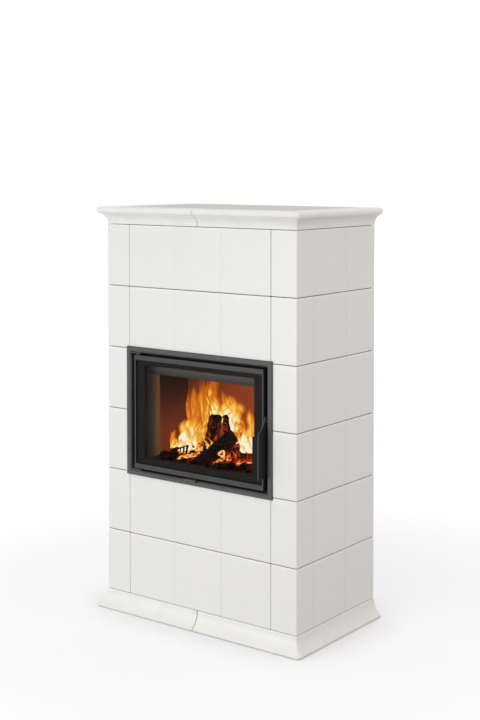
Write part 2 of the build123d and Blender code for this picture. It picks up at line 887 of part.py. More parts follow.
def lining_floor():
    """Floor brick with the well for the grate."""
    low = casing_bottom + casing_wall
    floor = block(
        (-firebox_half_width - lining_thickness, plate_back + brick_gap, low),
        (firebox_half_width + lining_thickness, firebox_back_depth + lining_thickness, firebox_floor),
    )
    half_x = grate_length / 2 + grate_clearance
    half_y = grate_width / 2 + grate_clearance
    floor -= block(
        (-half_x, grate_middle_depth - half_y, grate_bottom),
        (half_x, grate_middle_depth + half_y, firebox_floor + 1),
    )
    pan_x, pan_y = pan_half_sizes()
    rim = pan_flange + pan_clearance
    floor -= block(
        (-pan_x, grate_middle_depth - pan_y, low - 1),
        (pan_x, grate_middle_depth + pan_y, grate_bottom + 1),
    )
    floor -= block(
        (-pan_x - rim, grate_middle_depth - pan_y - rim, low - 1),
        (pan_x + rim, grate_middle_depth + pan_y + rim, low + pan_wall + seal_gap),
    )
    return floor


def grate():
    """Cast grate: a rim with bars across."""
    half_x, half_y = grate_length / 2, grate_width / 2
    plate = block(
        (-half_x, grate_middle_depth - half_y, grate_bottom),
        (half_x, grate_middle_depth + half_y, firebox_floor),
    )
    reach = half_y - grate_seat - grate_bar
    pitch = grate_bar + grate_gap
    count = int((grate_length - 4 * grate_seat) // pitch)
    for i in range(count):
        across = (i - (count - 1) / 2) * pitch
        plate -= block(
            (across - grate_gap / 2, grate_middle_depth - reach, grate_bottom - 1),
            (across + grate_gap / 2, grate_middle_depth + reach, firebox_floor + 1),
        )
    return plate


def ash_pan():
    """Sheet pan hung by its rim in the well under the grate."""
    pan_x, pan_y = pan_half_sizes()
    top = casing_bottom + casing_wall
    low = top - pan_height
    out_x, out_y = pan_x - pan_clearance, pan_y - pan_clearance
    wall = pan_wall
    middle = grate_middle_depth
    rim_x, rim_y = pan_x + pan_flange, pan_y + pan_flange
    pan = block((-out_x, middle - out_y, low), (out_x, middle + out_y, top + wall))
    pan += block((-rim_x, middle - rim_y, top), (rim_x, middle + rim_y, top + wall))
    pan -= block(
        (-out_x + wall, middle - out_y + wall, low + wall),
        (out_x - wall, middle + out_y - wall, top + wall + 1),
    )
    return pan


def air_wash_deflector():
    """Leaning strip inside the top of the firebox's mouth, with trimmed lower corners and two screws."""
    front = plate_back + seal_gap
    bottom_depth = front + deflector_lean
    thick = deflector_thickness
    foot = deflector_foot
    outline = Polyline(
        (front, aperture_top + foot),
        (front, aperture_top),
        (bottom_depth, deflector_bottom),
        (bottom_depth + thick, deflector_bottom),
        (front + thick, aperture_top),
        (front + thick, aperture_top + foot),
        (front, aperture_top + foot),
    )
    half = firebox_half_width - seal_gap
    strip = side_sheet(outline.edges(), -half, half)
    trim = deflector_trim
    for side in (-1, 1):
        corner = Polyline(
            (side * half, deflector_bottom + 2 * trim),
            (side * half, deflector_bottom),
            (side * (half - trim), deflector_bottom),
            (side * half, deflector_bottom + 2 * trim),
        )
        plane = Plane(origin=(0, face_y, body_bottom), x_dir=(1, 0, 0), z_dir=(0, -1, 0))
        strip -= plane * extrude(make_face(corner), amount=-plate_back * 3)
        screw_height = aperture_top - deflector_screw_drop
        screw_front = front - deflector_screw_head
        strip += rod_y(side * (half - trim), screw_front, front + thick, screw_height, deflector_screw_radius)
    return strip


def baffle():
    """Vermiculite plate on top of the side and back bricks."""
    half = firebox_half_width + lining_thickness - brick_gap
    low = lining_top + brick_gap
    return block(
        (-half, lining_front_depth, low),
        (half, firebox_back_depth + lining_thickness, low + baffle_thickness),
    )


# ---------------------------------------------------------------- smoke way
def smoke_hood():
    """Cone from the casing's outlet up to the flue pipe."""
    wall = hood_wall
    middle = place(0, flue_depth, casing_top + hood_height / 2)
    inner_top = flue_radius - flue_wall
    hood = middle * Cone(hood_radius, inner_top + wall, hood_height)
    hood -= middle * Cone(hood_radius - wall, inner_top, hood_height)
    return hood


def flue_pipes():
    """Straight pipes: up from the hood, and from the bend back to the collar."""
    start = casing_top + hood_height
    end = body_depth + rear_reach - collar_length - collar_stop
    turn_height, turn_depth = flue_turn()
    inner = flue_radius - flue_wall
    upright = rod_z(0, flue_depth, start, turn_height, flue_radius)
    upright -= rod_z(0, flue_depth, start - 1, turn_height + 1, inner)
    level = rod_y(0, turn_depth, end, flue_axis_height, flue_radius)
    level -= rod_y(0, turn_depth - 1, end + 1, flue_axis_height, inner)
    return [upright, level]


def flue_bend():
    """Quarter bend between the two straight pipes."""
    turn_height, turn_depth = flue_turn()
    section = Circle(flue_radius) - Circle(flue_radius - flue_wall)
    axis = Axis((0, face_y + turn_depth, body_bottom + turn_height), (-1, 0, 0))
    return revolve(place(0, flue_depth, turn_height) * section, axis, 90)


def flue_turn():
    """Height where the bend starts, and depth where it ends."""
    return flue_axis_height - flue_bend_radius, flue_depth + flue_bend_radius


def flue_collar():
    """Socket for the stove pipe, with a stop at its inner end and a flange outside the panel."""
    end = body_depth + rear_reach
    start = end - collar_length
    inner = flue_radius + collar_clearance
    outer = inner + collar_wall
    collar = rod_y(0, start - collar_stop, end, flue_axis_height, outer)
    plate = panel_depth + panel_thickness
    collar += rod_y(0, plate, plate + collar_flange, flue_axis_height, outer + collar_flange_width)
    collar -= rod_y(0, start, end + 1, flue_axis_height, inner)
    return collar - rod_y(0, start - collar_stop - 1, start + 1, flue_axis_height, flue_radius - flue_wall)


def storage_block():
    """Right-hand heat-storage block, standing on the casing."""
    solid = block((block_inner, block_front, casing_top), (block_outer, block_back, casing_top + block_height))
    solid -= rod_z(0, flue_depth, casing_top - 1, casing_top + block_height + 1, hood_radius + block_hood_gap)
    return chamfer(solid.faces().sort_by(Axis.Z)[-1].edges(), block_edge)


# ---------------------------------------------------------------- back, frame and stand
def back_panel():
    """Sheet back between the side tiles, with louvres and holes for the flue and the air."""
    half = half_body - tile_depth + panel_lug
    low = panel_floor_gap - plinth_height
    high = body_height + cornice_height - slab_drop - slab_thickness - panel_slab_gap
    outer = panel_depth + panel_thickness
    panel = block((-half, panel_depth, low), (half, outer, high))
    flue_hole = flue_radius + collar_clearance + collar_wall + panel_hole_gap
    panel -= rod_y(0, panel_depth - 1, outer + 1, flue_axis_height, flue_hole)
    panel -= rod_y(0, panel_depth - 1, outer + 1, air_axis_height, air_pipe_radius - air_pipe_wall)
    for row in range(louvre_rows):
        for column in range(louvre_columns):
            across = (column - (louvre_columns - 1) / 2) * louvre_column_pitch
            height = louvre_bottom + row * louvre_pitch
            panel -= block(
                (across - louvre_width / 2, panel_depth - 1, height),
                (across + louvre_width / 2, outer + 1, height + louvre_height),
            )
    return panel


def panel_screws():
    """Pan-head screws down both edges of the back panel."""
    screws = []
    across = half_body - tile_depth + panel_lug / 2
    outer = panel_depth + panel_thickness
    for side in (-1, 1):
        for row in range(panel_screw_rows):
            height = body_height * (row + 0.5) / panel_screw_rows
            screw = rod_y(side * across, outer, outer + panel_screw_head, height, panel_screw_radius)
            screws.append(screw)
    return screws


def base_frame():
    """Welded frame of channel, open upwards, on feet inside the plinth."""
    half = half_body - moulding_wall - base_frame_side_gap
    front = moulding_wall + base_frame_side_gap
    back = panel_depth - base_frame_side_gap
    low = base_frame_bottom - plinth_height
    high = low + channel
    frame = block((-half, front, low), (half, back, high))
    frame -= block((-half + channel, front + channel, low - 1), (half - channel, back - channel, high + 1))
    wall = channel_wall
    outer = block((-half + wall, front + wall, low + wall), (half - wall, back - wall, high + 1))
    inset = channel - wall
    core = block((-half + inset, front + inset, low), (half - inset, back - inset, high + 2))
    return frame - (outer - core)


def foot_places():
    """Middles of the four feet."""
    half = half_body - moulding_wall - base_frame_side_gap - channel / 2
    front = moulding_wall + base_frame_side_gap + channel / 2
    back = panel_depth - base_frame_side_gap - channel / 2
    return [(x, y) for x in (-half, half) for y in (front, back)]


def levelling_feet():
    """Pad and locking nut under each corner of the base frame."""
    feet = []
    floor = -plinth_height
    frame_low = base_frame_bottom - plinth_height
    for across, depth in foot_places():
        foot = rod_z(across, depth, floor, floor + foot_pad_height, foot_pad_radius)
        foot += rod_z(across, depth, floor, frame_low, foot_stud_radius)
        foot += rod_z(across, depth, frame_low - foot_nut_height, frame_low, foot_nut_radius)
        feet.append(foot)
    return feet


def insert_stand():
    """Four angle legs with rails, from the base frame to the firebox."""
    low = base_frame_bottom - plinth_height + channel
    high = casing_bottom
    stand = Part()
    for side in (-1, 1):
        outer = side * casing_half
        for depth, toward in ((leg_front_depth, 1), (casing_back, -1)):
            inner_x = outer - side * leg_wall
            wide_x = outer - side * leg_width
            inner_y = depth + toward * leg_wall
            wide_y = depth + toward * leg_width
            stand += span(outer, inner_x, depth, wide_y, low, high)
            stand += span(outer, wide_x, depth, inner_y, low, high)
        stand += span(outer, outer - side * leg_wall, leg_front_depth, casing_back, high - stand_rail, high)
        stand += span(outer, outer - side * leg_wall, leg_front_depth, casing_back, low_rail, low_rail + stand_rail)
    stand += span(-casing_half, casing_half, casing_back - leg_wall, casing_back, high - stand_rail, high)
    foot_half = half_body - moulding_wall - base_frame_side_gap
    for depth in (leg_front_depth, casing_back - leg_width):
        stand += span(-foot_half, foot_half, depth, depth + leg_width, low, low + leg_wall)
    return stand


def span(x_a, x_b, y_a, y_b, low, high):
    """A box between two pairs of limits in any order."""
    return block((min(x_a, x_b), min(y_a, y_b), low), (max(x_a, x_b), max(y_a, y_b), high))


def tile_straps():
    """Flat straps on the backs of neighbouring courses, one over each joint."""
    straps = []
    near, far = strap_gap, strap_gap + strap_sheet
    half = strap_width / 2
    for joint in range(1, course_count):
        low = joint * course_height - strap_height / 2
        high = low + strap_height
        for side in (-1, 1):
            inner = half_body - tile_depth
            for depth in strap_side_depths:
                straps.append(span(side * (inner - near), side * (inner - far), depth - half, depth + half, low, high))
        if front_joint(joint):
            for across in strap_front_places:
                straps.append(span(across - half, across + half, tile_depth + near, tile_depth + far, low, high))
    return straps


def front_joint(joint):
    """True where two front tiles meet at this joint."""
    door = range(first_door_course, first_door_course + door_courses)
    return joint not in door and joint - 1 not in door


# ---------------------------------------------------------------- firewood
def log_solid(name, grow):
    """One split log as a prism with uneven sides, larger all round by grow."""
    start, end, radius, sides, twist = log_shapes[name]
    middle = Vector(0, face_y + firebox_middle_depth, body_bottom + firebox_floor)
    low = middle + Vector(*start)
    high = middle + Vector(*end)
    along = (high - low).normalized()
    points = []
    for i in range(sides):
        angle = math.radians(twist + 360 * i / sides)
        reach = (radius + grow) * (1 + 0.08 * math.sin(3 * angle + twist))
        points.append((reach * math.cos(angle), reach * math.sin(angle)))
    outline = make_face(Polyline(*points, points[0]))
    length = (high - low).length + 2 * grow
    plane = Plane(origin=low - along * grow, z_dir=along)
    return plane * extrude(outline, amount=length)


def firewood():
    """Each log, cut where an earlier one lies, so that they rest on each other without meeting."""
    done = {}
    for name in log_shapes:
        piece = log_solid(name, 0)
        for other in done:
            piece -= log_solid(other, log_gap)
        piece -= block((-half_body, 0, 0), (half_body, body_depth, firebox_floor + log_gap))
        done[name] = piece.solids().sort_by(SortBy.VOLUME)[-1]
    return done


def ember_bed():
    """Low bed of embers and ash with sloping sides, hollowed where the logs lie."""
    low = firebox_floor + log_gap
    high = firebox_floor + ember_thickness
    front = plate_back + ember_front_gap
    back = firebox_back_depth - ember_back_gap
    middle = (front + back) / 2
    width = 2 * (firebox_half_width - ember_side_gap)
    bottom = place(0, middle, low) * Rectangle(width, back - front)
    top = place(0, middle, high) * Rectangle(width - 2 * ember_slope, back - front - 2 * ember_slope)
    bed = loft([bottom.face(), top.face()])
    for name in log_shapes:
        bed -= log_solid(name, log_gap)
    return bed.solids().sort_by(SortBy.VOLUME)[-1]


# ---------------------------------------------------------------- all pieces
def all_pieces():
    """Every piece by name; a list is a group of separate solids."""
    pieces = {}
    right_plinth = plinth_half()
    pieces["plinth_right"] = right_plinth
    pieces["plinth_left"] = mirrored(right_plinth)
    door = range(first_door_course, first_door_course + door_courses)
    for course in range(course_count):
        tile = corner_tile(course)
        pieces[f"corner_tile_left_{course + 1}"] = tile
        pieces[f"corner_tile_right_{course + 1}"] = mirrored(tile)
        if course not in door:
            pieces[f"front_tile_{course + 1}"] = front_tile(course)
    right_cornice = cornice_half()
    pieces["cornice_right"] = right_cornice
    pieces["cornice_left"] = mirrored(right_cornice)
    slab = top_slab()
    pieces["top_slabs"] = [mirrored(slab), slab]
    pieces["surround_frame"] = surround_frame()
    pieces["hinges"] = hinges()
    pieces["latch_pin"] = latch_pin()
    pieces["door_frame"] = door_frame()
    pieces["door_glass"] = door_glass()
    pieces["glass_gasket"] = glass_gasket()
    pieces["glass_retainer"] = glass_retainer()
    pieces["door_gasket"] = door_gasket()
    pieces["door_handle"] = door_handle()
    pieces["handle_pivot"] = handle_pivot()
    pieces["air_slider"] = air_slider()
    pieces["air_box"] = air_box()
    pieces["air_duct"] = air_duct()
    pieces["air_spigot"] = air_spigot()
    pieces["firebox_front"] = firebox_front()
    pieces["firebox_casing"] = firebox_casing()
    front_brick = lining_side_front()
    rear_brick = lining_side_rear()
    pieces["lining_fronts"] = [mirrored(front_brick), front_brick]
    pieces["lining_sides"] = [mirrored(rear_brick), rear_brick]
    pieces["lining_back"] = lining_back()
    pieces["lining_floor"] = lining_floor()
    pieces["grate"] = grate()
    pieces["ash_pan"] = ash_pan()
    pieces["air_wash_deflector"] = air_wash_deflector()
    pieces["baffle"] = baffle()
    pieces["smoke_hood"] = smoke_hood()
    pieces["flue_pipes"] = flue_pipes()
    pieces["flue_bend"] = flue_bend()
    pieces["flue_collar"] = flue_collar()
    storage = storage_block()
    pieces["storage_blocks"] = [mirrored(storage), storage]
    pieces["back_panel"] = back_panel()
    pieces["panel_screws"] = panel_screws()
    pieces["base_frame"] = base_frame()
    pieces["levelling_feet"] = levelling_feet()
    pieces["insert_stand"] = insert_stand()
    pieces["tile_straps"] = tile_straps()
    logs = firewood()
    pieces["firewood_base"] = [logs["right"], logs["left"]]
    pieces["firewood_cross"] = logs["cross"]
    pieces["firewood_upright"] = logs["upright"]
    pieces["ember_bed"] = ember_bed()
    return pieces


os.makedirs("parts", exist_ok=True)
for name, piece in all_pieces().items():
    if isinstance(piece, list):
        piece = Compound(children=piece)
    export_step(piece, f"parts/{name}.step")
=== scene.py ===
"""Tiled stove: glazed tiles, cast mouldings, painted steel, fire glass, brick and a wood fire, built
round its frame.

Lengths in the shapes are millimetres: across from the middle, depth back from the face of the tiles,
height up from the top of the plinth. at() turns them into Blender's metres.
"""

import math
import random
from functools import partial

import bmesh
import bpy
import numpy as np
from bpy.props import FloatProperty, FloatVectorProperty, IntProperty, PointerProperty
from mathutils import Euler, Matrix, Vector, noise


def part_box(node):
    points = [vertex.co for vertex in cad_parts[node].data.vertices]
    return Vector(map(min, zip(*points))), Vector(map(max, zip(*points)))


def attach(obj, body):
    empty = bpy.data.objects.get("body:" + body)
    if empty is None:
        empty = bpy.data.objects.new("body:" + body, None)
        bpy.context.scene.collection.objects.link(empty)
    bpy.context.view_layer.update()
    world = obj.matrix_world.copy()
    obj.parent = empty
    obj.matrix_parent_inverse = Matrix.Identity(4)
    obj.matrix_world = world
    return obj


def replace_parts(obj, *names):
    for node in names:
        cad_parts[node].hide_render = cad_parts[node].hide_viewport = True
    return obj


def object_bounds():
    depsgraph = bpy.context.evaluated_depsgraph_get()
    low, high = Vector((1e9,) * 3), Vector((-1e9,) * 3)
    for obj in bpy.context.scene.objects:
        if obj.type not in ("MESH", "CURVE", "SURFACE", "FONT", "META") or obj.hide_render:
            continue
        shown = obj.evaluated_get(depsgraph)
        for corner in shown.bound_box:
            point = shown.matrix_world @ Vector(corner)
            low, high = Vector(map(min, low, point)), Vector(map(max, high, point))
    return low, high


bl_info = {
    "name": "Tiled Stove",
    "version": (1, 0, 0),
    "blender": (4, 5, 0),
    "location": "View3D > Sidebar > Stove",
    "description": "Dresses the frame of a tiled stove in tiles, painted steel, glass, brick and fire",
    "category": "Add Mesh",
}

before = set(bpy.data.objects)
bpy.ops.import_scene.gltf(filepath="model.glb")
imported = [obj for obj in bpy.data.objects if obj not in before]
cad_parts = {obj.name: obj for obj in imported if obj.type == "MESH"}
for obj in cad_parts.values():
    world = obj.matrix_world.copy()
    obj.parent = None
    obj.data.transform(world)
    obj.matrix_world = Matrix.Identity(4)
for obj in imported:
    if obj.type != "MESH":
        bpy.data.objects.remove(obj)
cad_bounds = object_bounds()
face_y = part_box("front_tile_1")[0].y
body_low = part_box("plinth_left")[1].z


# ---------------------------------------------------------------- places and meshes
def at(across, depth, height):
    """A place on the stove, in metres."""
    return Vector((across / 1000, face_y + depth / 1000, body_low + height / 1000))


def reach(node):
    """The sides of a node of the frame: across from and to, depth from and to, height from and to."""
    low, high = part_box(node)
    across = low.x * 1000, high.x * 1000
    depth = (low.y - face_y) * 1000, (high.y - face_y) * 1000
    height = (low.z - body_low) * 1000, (high.z - body_low) * 1000
    return (*across, *depth, *height)


def linear(code):
    """An sRGB hex colour as the linear values that Blender works in."""
    parts = [int(code[i : i + 2], 16) / 255 for i in (1, 3, 5)]
    return tuple(p / 12.92 if p <= 0.04045 else ((p + 0.055) / 1.055) ** 2.4 for p in parts)


def put_in_scene(name, data):
    """A new object in the scene."""
    holder = bpy.data.objects.new(name, data)
    bpy.context.scene.collection.objects.link(holder)
    return holder


def make_piece(name, points, faces, material, body="stove", crease=35, marks=None):
    """A mesh piece in the scene, riding on a body, with its creases kept sharp and its flat faces shaded
    flat.

    Marks are the values that its material reads at each point, by name.
    """
    mesh = bpy.data.meshes.new(name)
    mesh.from_pydata([at(*p) for p in points], [], faces)
    for label, values in (marks or {}).items():
        layer = mesh.attributes.new(label, "FLOAT", "POINT")
        layer.data.foreach_set("value", np.asarray(values, np.float32))
    piece = put_in_scene(name, mesh)
    clean_mesh(mesh, crease)
    mesh.materials.append(material)
    piece.modifiers.new("even_shading", "WEIGHTED_NORMAL").keep_sharp = True
    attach(piece, body)
    return piece


def clean_mesh(mesh, crease):
    """Joins points that meet, turns the faces outwards and marks the creases."""
    work = bmesh.new()
    work.from_mesh(mesh)
    bmesh.ops.remove_doubles(work, verts=work.verts, dist=2e-6)
    bmesh.ops.dissolve_degenerate(work, dist=1e-6, edges=work.edges)
    bmesh.ops.recalc_face_normals(work, faces=work.faces)
    work.to_mesh(mesh)
    work.free()
    mesh.shade_smooth()
    mesh.set_sharp_from_angle(angle=math.radians(crease))


def grid_faces(rows, columns, closed=False):
    """Quads over a grid of points listed row by row; closed joins each row's last point to its first."""
    faces = []
    for i in range(rows - 1):
        for j in range(columns if closed else columns - 1):
            k = (j + 1) % columns
            faces.append((i * columns + j, i * columns + k, (i + 1) * columns + k, (i + 1) * columns + j))
    return faces


def border(rows, columns):
    """The outer points of such a grid, once round from its first."""
    loop = [*range(columns), *(i * columns + columns - 1 for i in range(1, rows))]
    loop += [(rows - 1) * columns + j for j in range(columns - 2, -1, -1)]
    return loop + [i * columns for i in range(rows - 2, 0, -1)]


def skirt(loop, first):
    """Quads between a closed loop of points and its copy, whose points begin at first."""
    count = len(loop)
    return [(loop[k], loop[(k + 1) % count], first + (k + 1) % count, first + k) for k in range(count)]


def shifted(faces, first):
    """The same faces for points that begin at first."""
    return [tuple(first + a for a in face) for face in faces]


def waver(x, y, z=0.0):
    """Smooth noise between 0 and 1 at a place."""
    return 0.5 + 0.5 * noise.noise(Vector((x, y, z)))


# ---------------------------------------------------------------- materials
def opaque(colour):
    """A colour with full alpha, from its hex code or from the values of a setting."""
    return (*(linear(colour) if isinstance(colour, str) else colour), 1)


def add_node(tree, kind, *inputs, stops=(), out=0, **named):
    """Adds a shader node and gives one of its outputs, if it has any.

    Inputs go in by their place or, with a capital and _ for a space, by their name: each a value, a hex
    colour or the output it is linked from. Other names are the node's settings. Stops are a ramp's
    (place, colour).
    """
    node = tree.nodes.new("ShaderNode" + kind)
    values = dict(enumerate(inputs))
    for name, value in named.items():
        if name[0].isupper():
            values[name.replace("_", " ")] = value
        else:
            setattr(node, name, value)
    for key, value in values.items():
        if isinstance(value, bpy.types.NodeSocket):
            tree.links.new(value, node.inputs[key])
        else:
            node.inputs[key].default_value = opaque(value) if isinstance(value, str) else value
    for i, (place, colour) in enumerate(stops):
        element = node.color_ramp.elements[i] if i < 2 else node.color_ramp.elements.new(place)
        element.position = place
        element.color = opaque(colour)
    return node.outputs[out] if node.outputs else None


def per_mm(size):
    """A texture's scale for features of this many millimetres."""
    return 1000 / size


def make_material(name, surface, *values):
    """A node material. Its surface function adds the nodes, given add and the place on the object, and
    gives the shader."""
    material = bpy.data.materials.new(name)
    material.use_nodes = True
    material.node_tree.nodes.clear()
    add = partial(add_node, material.node_tree)
    place = add("TexCoord", out="Object")
    add("OutputMaterial", Surface=surface(add, place, *values))
    return material


def solid(add, tone, stops, reliefs, **look):
    """An opaque surface: a value gives its tone by the stops, or is its colour where there are none; the
    reliefs, each (height, depth in metres, strength), are pressed into it one over the other."""
    normal = {}
    for height, depth, strength in reliefs:
        normal = {"Normal": add("Bump", Height=height, Distance=depth, Strength=strength, **normal)}
    colour = add("ValToRGB", tone, stops=stops) if stops else tone
    return add("BsdfPrincipled", Base_Color=colour, **normal, **look)


def glazed_earthenware(add, place, glaze):
    """Glazed earthenware, slip-cast and dipped: a satin cream-white coat that pools smooth on the face,
    thins to a warmer tone over the rims, carries painted shade in its joints and grooves and a painted
    highlight along the top of each tile, and takes soft, slightly wavy highlights."""
    pooling = add("TexNoise", place, Scale=per_mm(70), Detail=2)
    tone = add("ValToRGB", pooling, stops=[(0.3, "#E9E7E4"), (0.7, "#EFEDEB")])
    coat = add("Mix", Factor=0.75, A=tone, B=opaque(glaze), out="Result", data_type="RGBA")
    # painted highlight: the top 14 mm of each tile is painted lighter, as if light from above caught its
    # rounded top rim
    course = reach("corner_tile_left_2")[4] - reach("corner_tile_left_1")[4]
    above = add("Math", add("SeparateXYZ", place, out="Z"), body_low, operation="SUBTRACT")
    courses = add("Math", above, course / 1000, operation="DIVIDE")
    share = add("Math", courses, operation="FRACT")
    top_highlight_share = add("MapRange", share, From_Min=1 - 14 / course, From_Max=1)
    top_highlight_curve = add("Math", top_highlight_share, 1.6, operation="POWER")
    slip = add("Math", top_highlight_curve, 0.75, operation="MULTIPLY")
    coat = add("Mix", Factor=slip, A=coat, B="#FFFDFA", out="Result", data_type="RGBA")
    # right at the joints and along the grooves the coat goes darker and warmer: partly the clay showing
    # through the thin coat, partly painted shade in the joints and grooves
    thin = add("Math", add("Attribute", out="Fac", attribute_name="rim"), 0.7, operation="MULTIPLY")
    coat = add("Mix", Factor=thin, A=coat, B="#B5AEA2", out="Result", data_type="RGBA")
    # long waves of the poured coat, about 45 mm apart, and the finer orange peel of the fired surface,
    # drawn at 3 mm
    wave = add("TexNoise", place, Scale=per_mm(45), Detail=1)
    peel = add("TexNoise", place, Scale=per_mm(3), Detail=2)
    rough = add("MapRange", pooling, To_Min=0.3, To_Max=0.38)
    return solid(add, coat, (), ((wave, 0.0004, 0.5), (peel, 0.00003, 0.5)), Roughness=rough, IOR=1.5)


def glazed_cast_stone(add, place):
    """Cast stone with a white glaze, poured in moulds: the colour of the tiles, a little flatter, with
    fine sand under it and long soft swells from the mould."""
    cloud = add("TexNoise", place, Scale=per_mm(55), Detail=3)
    stops = (0.25, "#ECEBE6"), (0.75, "#F2F1EC")
    sand = add("TexNoise", place, Scale=per_mm(1.6), Detail=2)
    swell = add("TexNoise", place, Scale=per_mm(26), Detail=1)
    return solid(add, cloud, stops, ((swell, 0.0005, 0.5), (sand, 0.00006, 0.5)), Roughness=0.4, IOR=1.5)


def painted_concrete(add, place):
    """Refractory concrete, cast flat and painted white: a chalky face with sand grains and a few pin
    holes."""
    cloud = add("TexNoise", place, Scale=per_mm(90), Detail=5)
    stops = (0.3, "#D2D2D0"), (0.7, "#D7D7D5")
    grain = add("TexNoise", place, Scale=per_mm(1.5), Detail=3)
    holes = add("TexVoronoi", place, Scale=per_mm(11))
    pit = add("MapRange", holes, From_Min=0.03, From_Max=0.1)
    return solid(add, cloud, stops, ((pit, 0.0005, 0.6), (grain, 0.00015, 0.6)), Roughness=0.75, IOR=1.5)


def stove_paint(add, place, dark, light, roughness):
    """Sheet steel sprayed with heat-resistant paint: a fine sandy black that turns grey where light
    grazes it."""
    cloud = add("TexNoise", place, Scale=per_mm(35), Detail=4)
    # the paint's grit is about 0.3 mm, drawn at 0.9 mm so that it shows
    grit = add("TexNoise", place, Scale=per_mm(0.9), Detail=2)
    both = add("Math", cloud, 0.7, grit, operation="MULTIPLY_ADD")
    stops = (0.55, dark), (1.15, light)
    rough = add("MapRange", cloud, To_Min=roughness - 0.06, To_Max=roughness + 0.08)
    return solid(add, both, stops, [(grit, 0.00008, 0.6)], Roughness=rough, IOR=1.5)


def black_powder_coat(add, place):
    """Laser-cut steel plate, powder coated black, with a painted highlight on the side plate's cut edges
    and painted light on its flat side."""
    cloud = add("TexNoise", place, Scale=per_mm(25), Detail=3)
    tone = add("ValToRGB", cloud, stops=[(0.3, "#101010"), (0.7, "#171716")])
    # painted highlight on the side plate's cut edge: within the sheet's thickness, and not its flat side
    right = reach("door_handle")[1] / 1000
    across = add("SeparateXYZ", place)
    in_sheet = add("MapRange", across, From_Min=right - 0.0032, From_Max=right - 0.0026)
    facing = add("SeparateXYZ", add("TexCoord", out="Normal"))
    edge = add("Math", facing, operation="ABSOLUTE")
    cut = add("MapRange", edge, From_Min=0.6, From_Max=0.3)
    bare = add("Math", in_sheet, cut, operation="MULTIPLY")
    # painted light: the plate's flat side, which faces the room at the right, is painted greyer
    painted_side_light = add("MapRange", edge, From_Min=0.7, From_Max=0.9)
    sides = add("Mix", Factor=painted_side_light, A=tone, B="#2B2B2D", out="Result", data_type="RGBA")
    # the cut edge's painted highlight goes over the painted light of the flat side
    coat_with_painted_light = add("Mix", Factor=bare, A=sides, B="#58585B", out="Result", data_type="RGBA")
    # the coat's own texture is about 0.4 mm, drawn at 0.8 mm
    grit = add("TexNoise", place, Scale=per_mm(0.8), Detail=1)
    gloss = {"Roughness": 0.42, "IOR": 1.5, "Specular_IOR_Level": 0.08}
    return solid(add, coat_with_painted_light, (), [(grit, 0.00005, 0.5)], **gloss)


def turned_mild_steel(add, place):
    """Mild steel, turned or milled and left bare: a warm grey metal with fine tool marks round it."""
    lines = add("Mapping", place, Scale=(per_mm(9), per_mm(9), per_mm(0.8)))
    marks = add("TexNoise", lines, Scale=1, Detail=3)
    stops = (0.3, "#8F8D8A"), (0.7, "#B4B1AC")
    rough = add("MapRange", marks, To_Min=0.28, To_Max=0.42)
    return solid(add, marks, stops, [(marks, 0.00005, 0.5)], Metallic=1, Roughness=rough)


def hot_dip_zinc(add, place):
    """Sheet steel, hot-dip galvanised: grey zinc in angular crystals 8 to 20 mm across, each of its own
    brightness."""
    drift = add("TexNoise", place, Scale=per_mm(12), Detail=2, out="Color")
    bent = add("VectorMath", drift, (0.006, 0.006, 0.006), place, operation="MULTIPLY_ADD")
    crystal = add("TexVoronoi", bent, Scale=per_mm(14), out="Color")
    value = add("SeparateColor", crystal)
    stops = (0, "#9B9FA1"), (1, "#B2B5B6")
    rough = add("MapRange", value, To_Min=0.4, To_Max=0.5)
    return solid(add, value, stops, [(value, 0.00004, 0.5)], Metallic=0.9, Roughness=rough)


def black_enamel_print(add, place):
    """Ceramic enamel, screen-printed in black on the back of the glass and fired: dense, smooth and
    slightly brown in light."""
    cloud = add("TexNoise", place, Scale=per_mm(30), Detail=3)
    stops = (0.3, "#0A090A"), (0.7, "#0F0D0F")
    # the mesh of the print screen leaves a fine grain, drawn at 1 mm
    grain = add("TexNoise", place, Scale=per_mm(1), Detail=1)
    gloss = {"Roughness": 0.5, "IOR": 1.5, "Specular_IOR_Level": 0.15}
    return solid(add, cloud, stops, [(grain, 0.00002, 0.4)], **gloss)


def glass_ceramic(add, place):
    """Glass ceramic, rolled: clear with a faint amber tint, and a hard gloss that mirrors the room at a
    slant."""
    # a faint film of smoke that the wiping cloth left in clouds about 60 mm long
    film = add("TexNoise", place, Scale=per_mm(60), Detail=2)
    rough = add("MapRange", film, To_Min=0.05, To_Max=0.12)
    # a thin pane mirrors alike from both sides, so its rear face takes the inverse index
    behind = add("NewGeometry", out="Backfacing")
    index = add("MapRange", behind, To_Min=1.45, To_Max=1 / 1.45)
    slant = add("Fresnel", index)
    clear = add("BsdfTransparent", Color="#F8F5F1")
    gloss = add("BsdfPrincipled", Base_Color="#3A3A3B", Metallic=1, Roughness=rough)
    return add("MixShader", slant, clear, gloss)


def glass_fibre_rope(add, place):
    """Knitted glass-fibre rope, grey from graphite: soft round strands crossing at a slant every 3 mm."""
    turned = add("Mapping", place, Rotation=(0.6, 0, 0.7))
    strand = add("TexWave", turned, Scale=per_mm(3) / 6.28, Distortion=1.5, Detail=1, out="Fac")
    stops = (0.1, "#232221"), (0.9, "#4C4A47")
    return solid(add, strand, stops, [(strand, 0.0008, 0.7)], Roughness=0.9, Sheen_Weight=0.2)


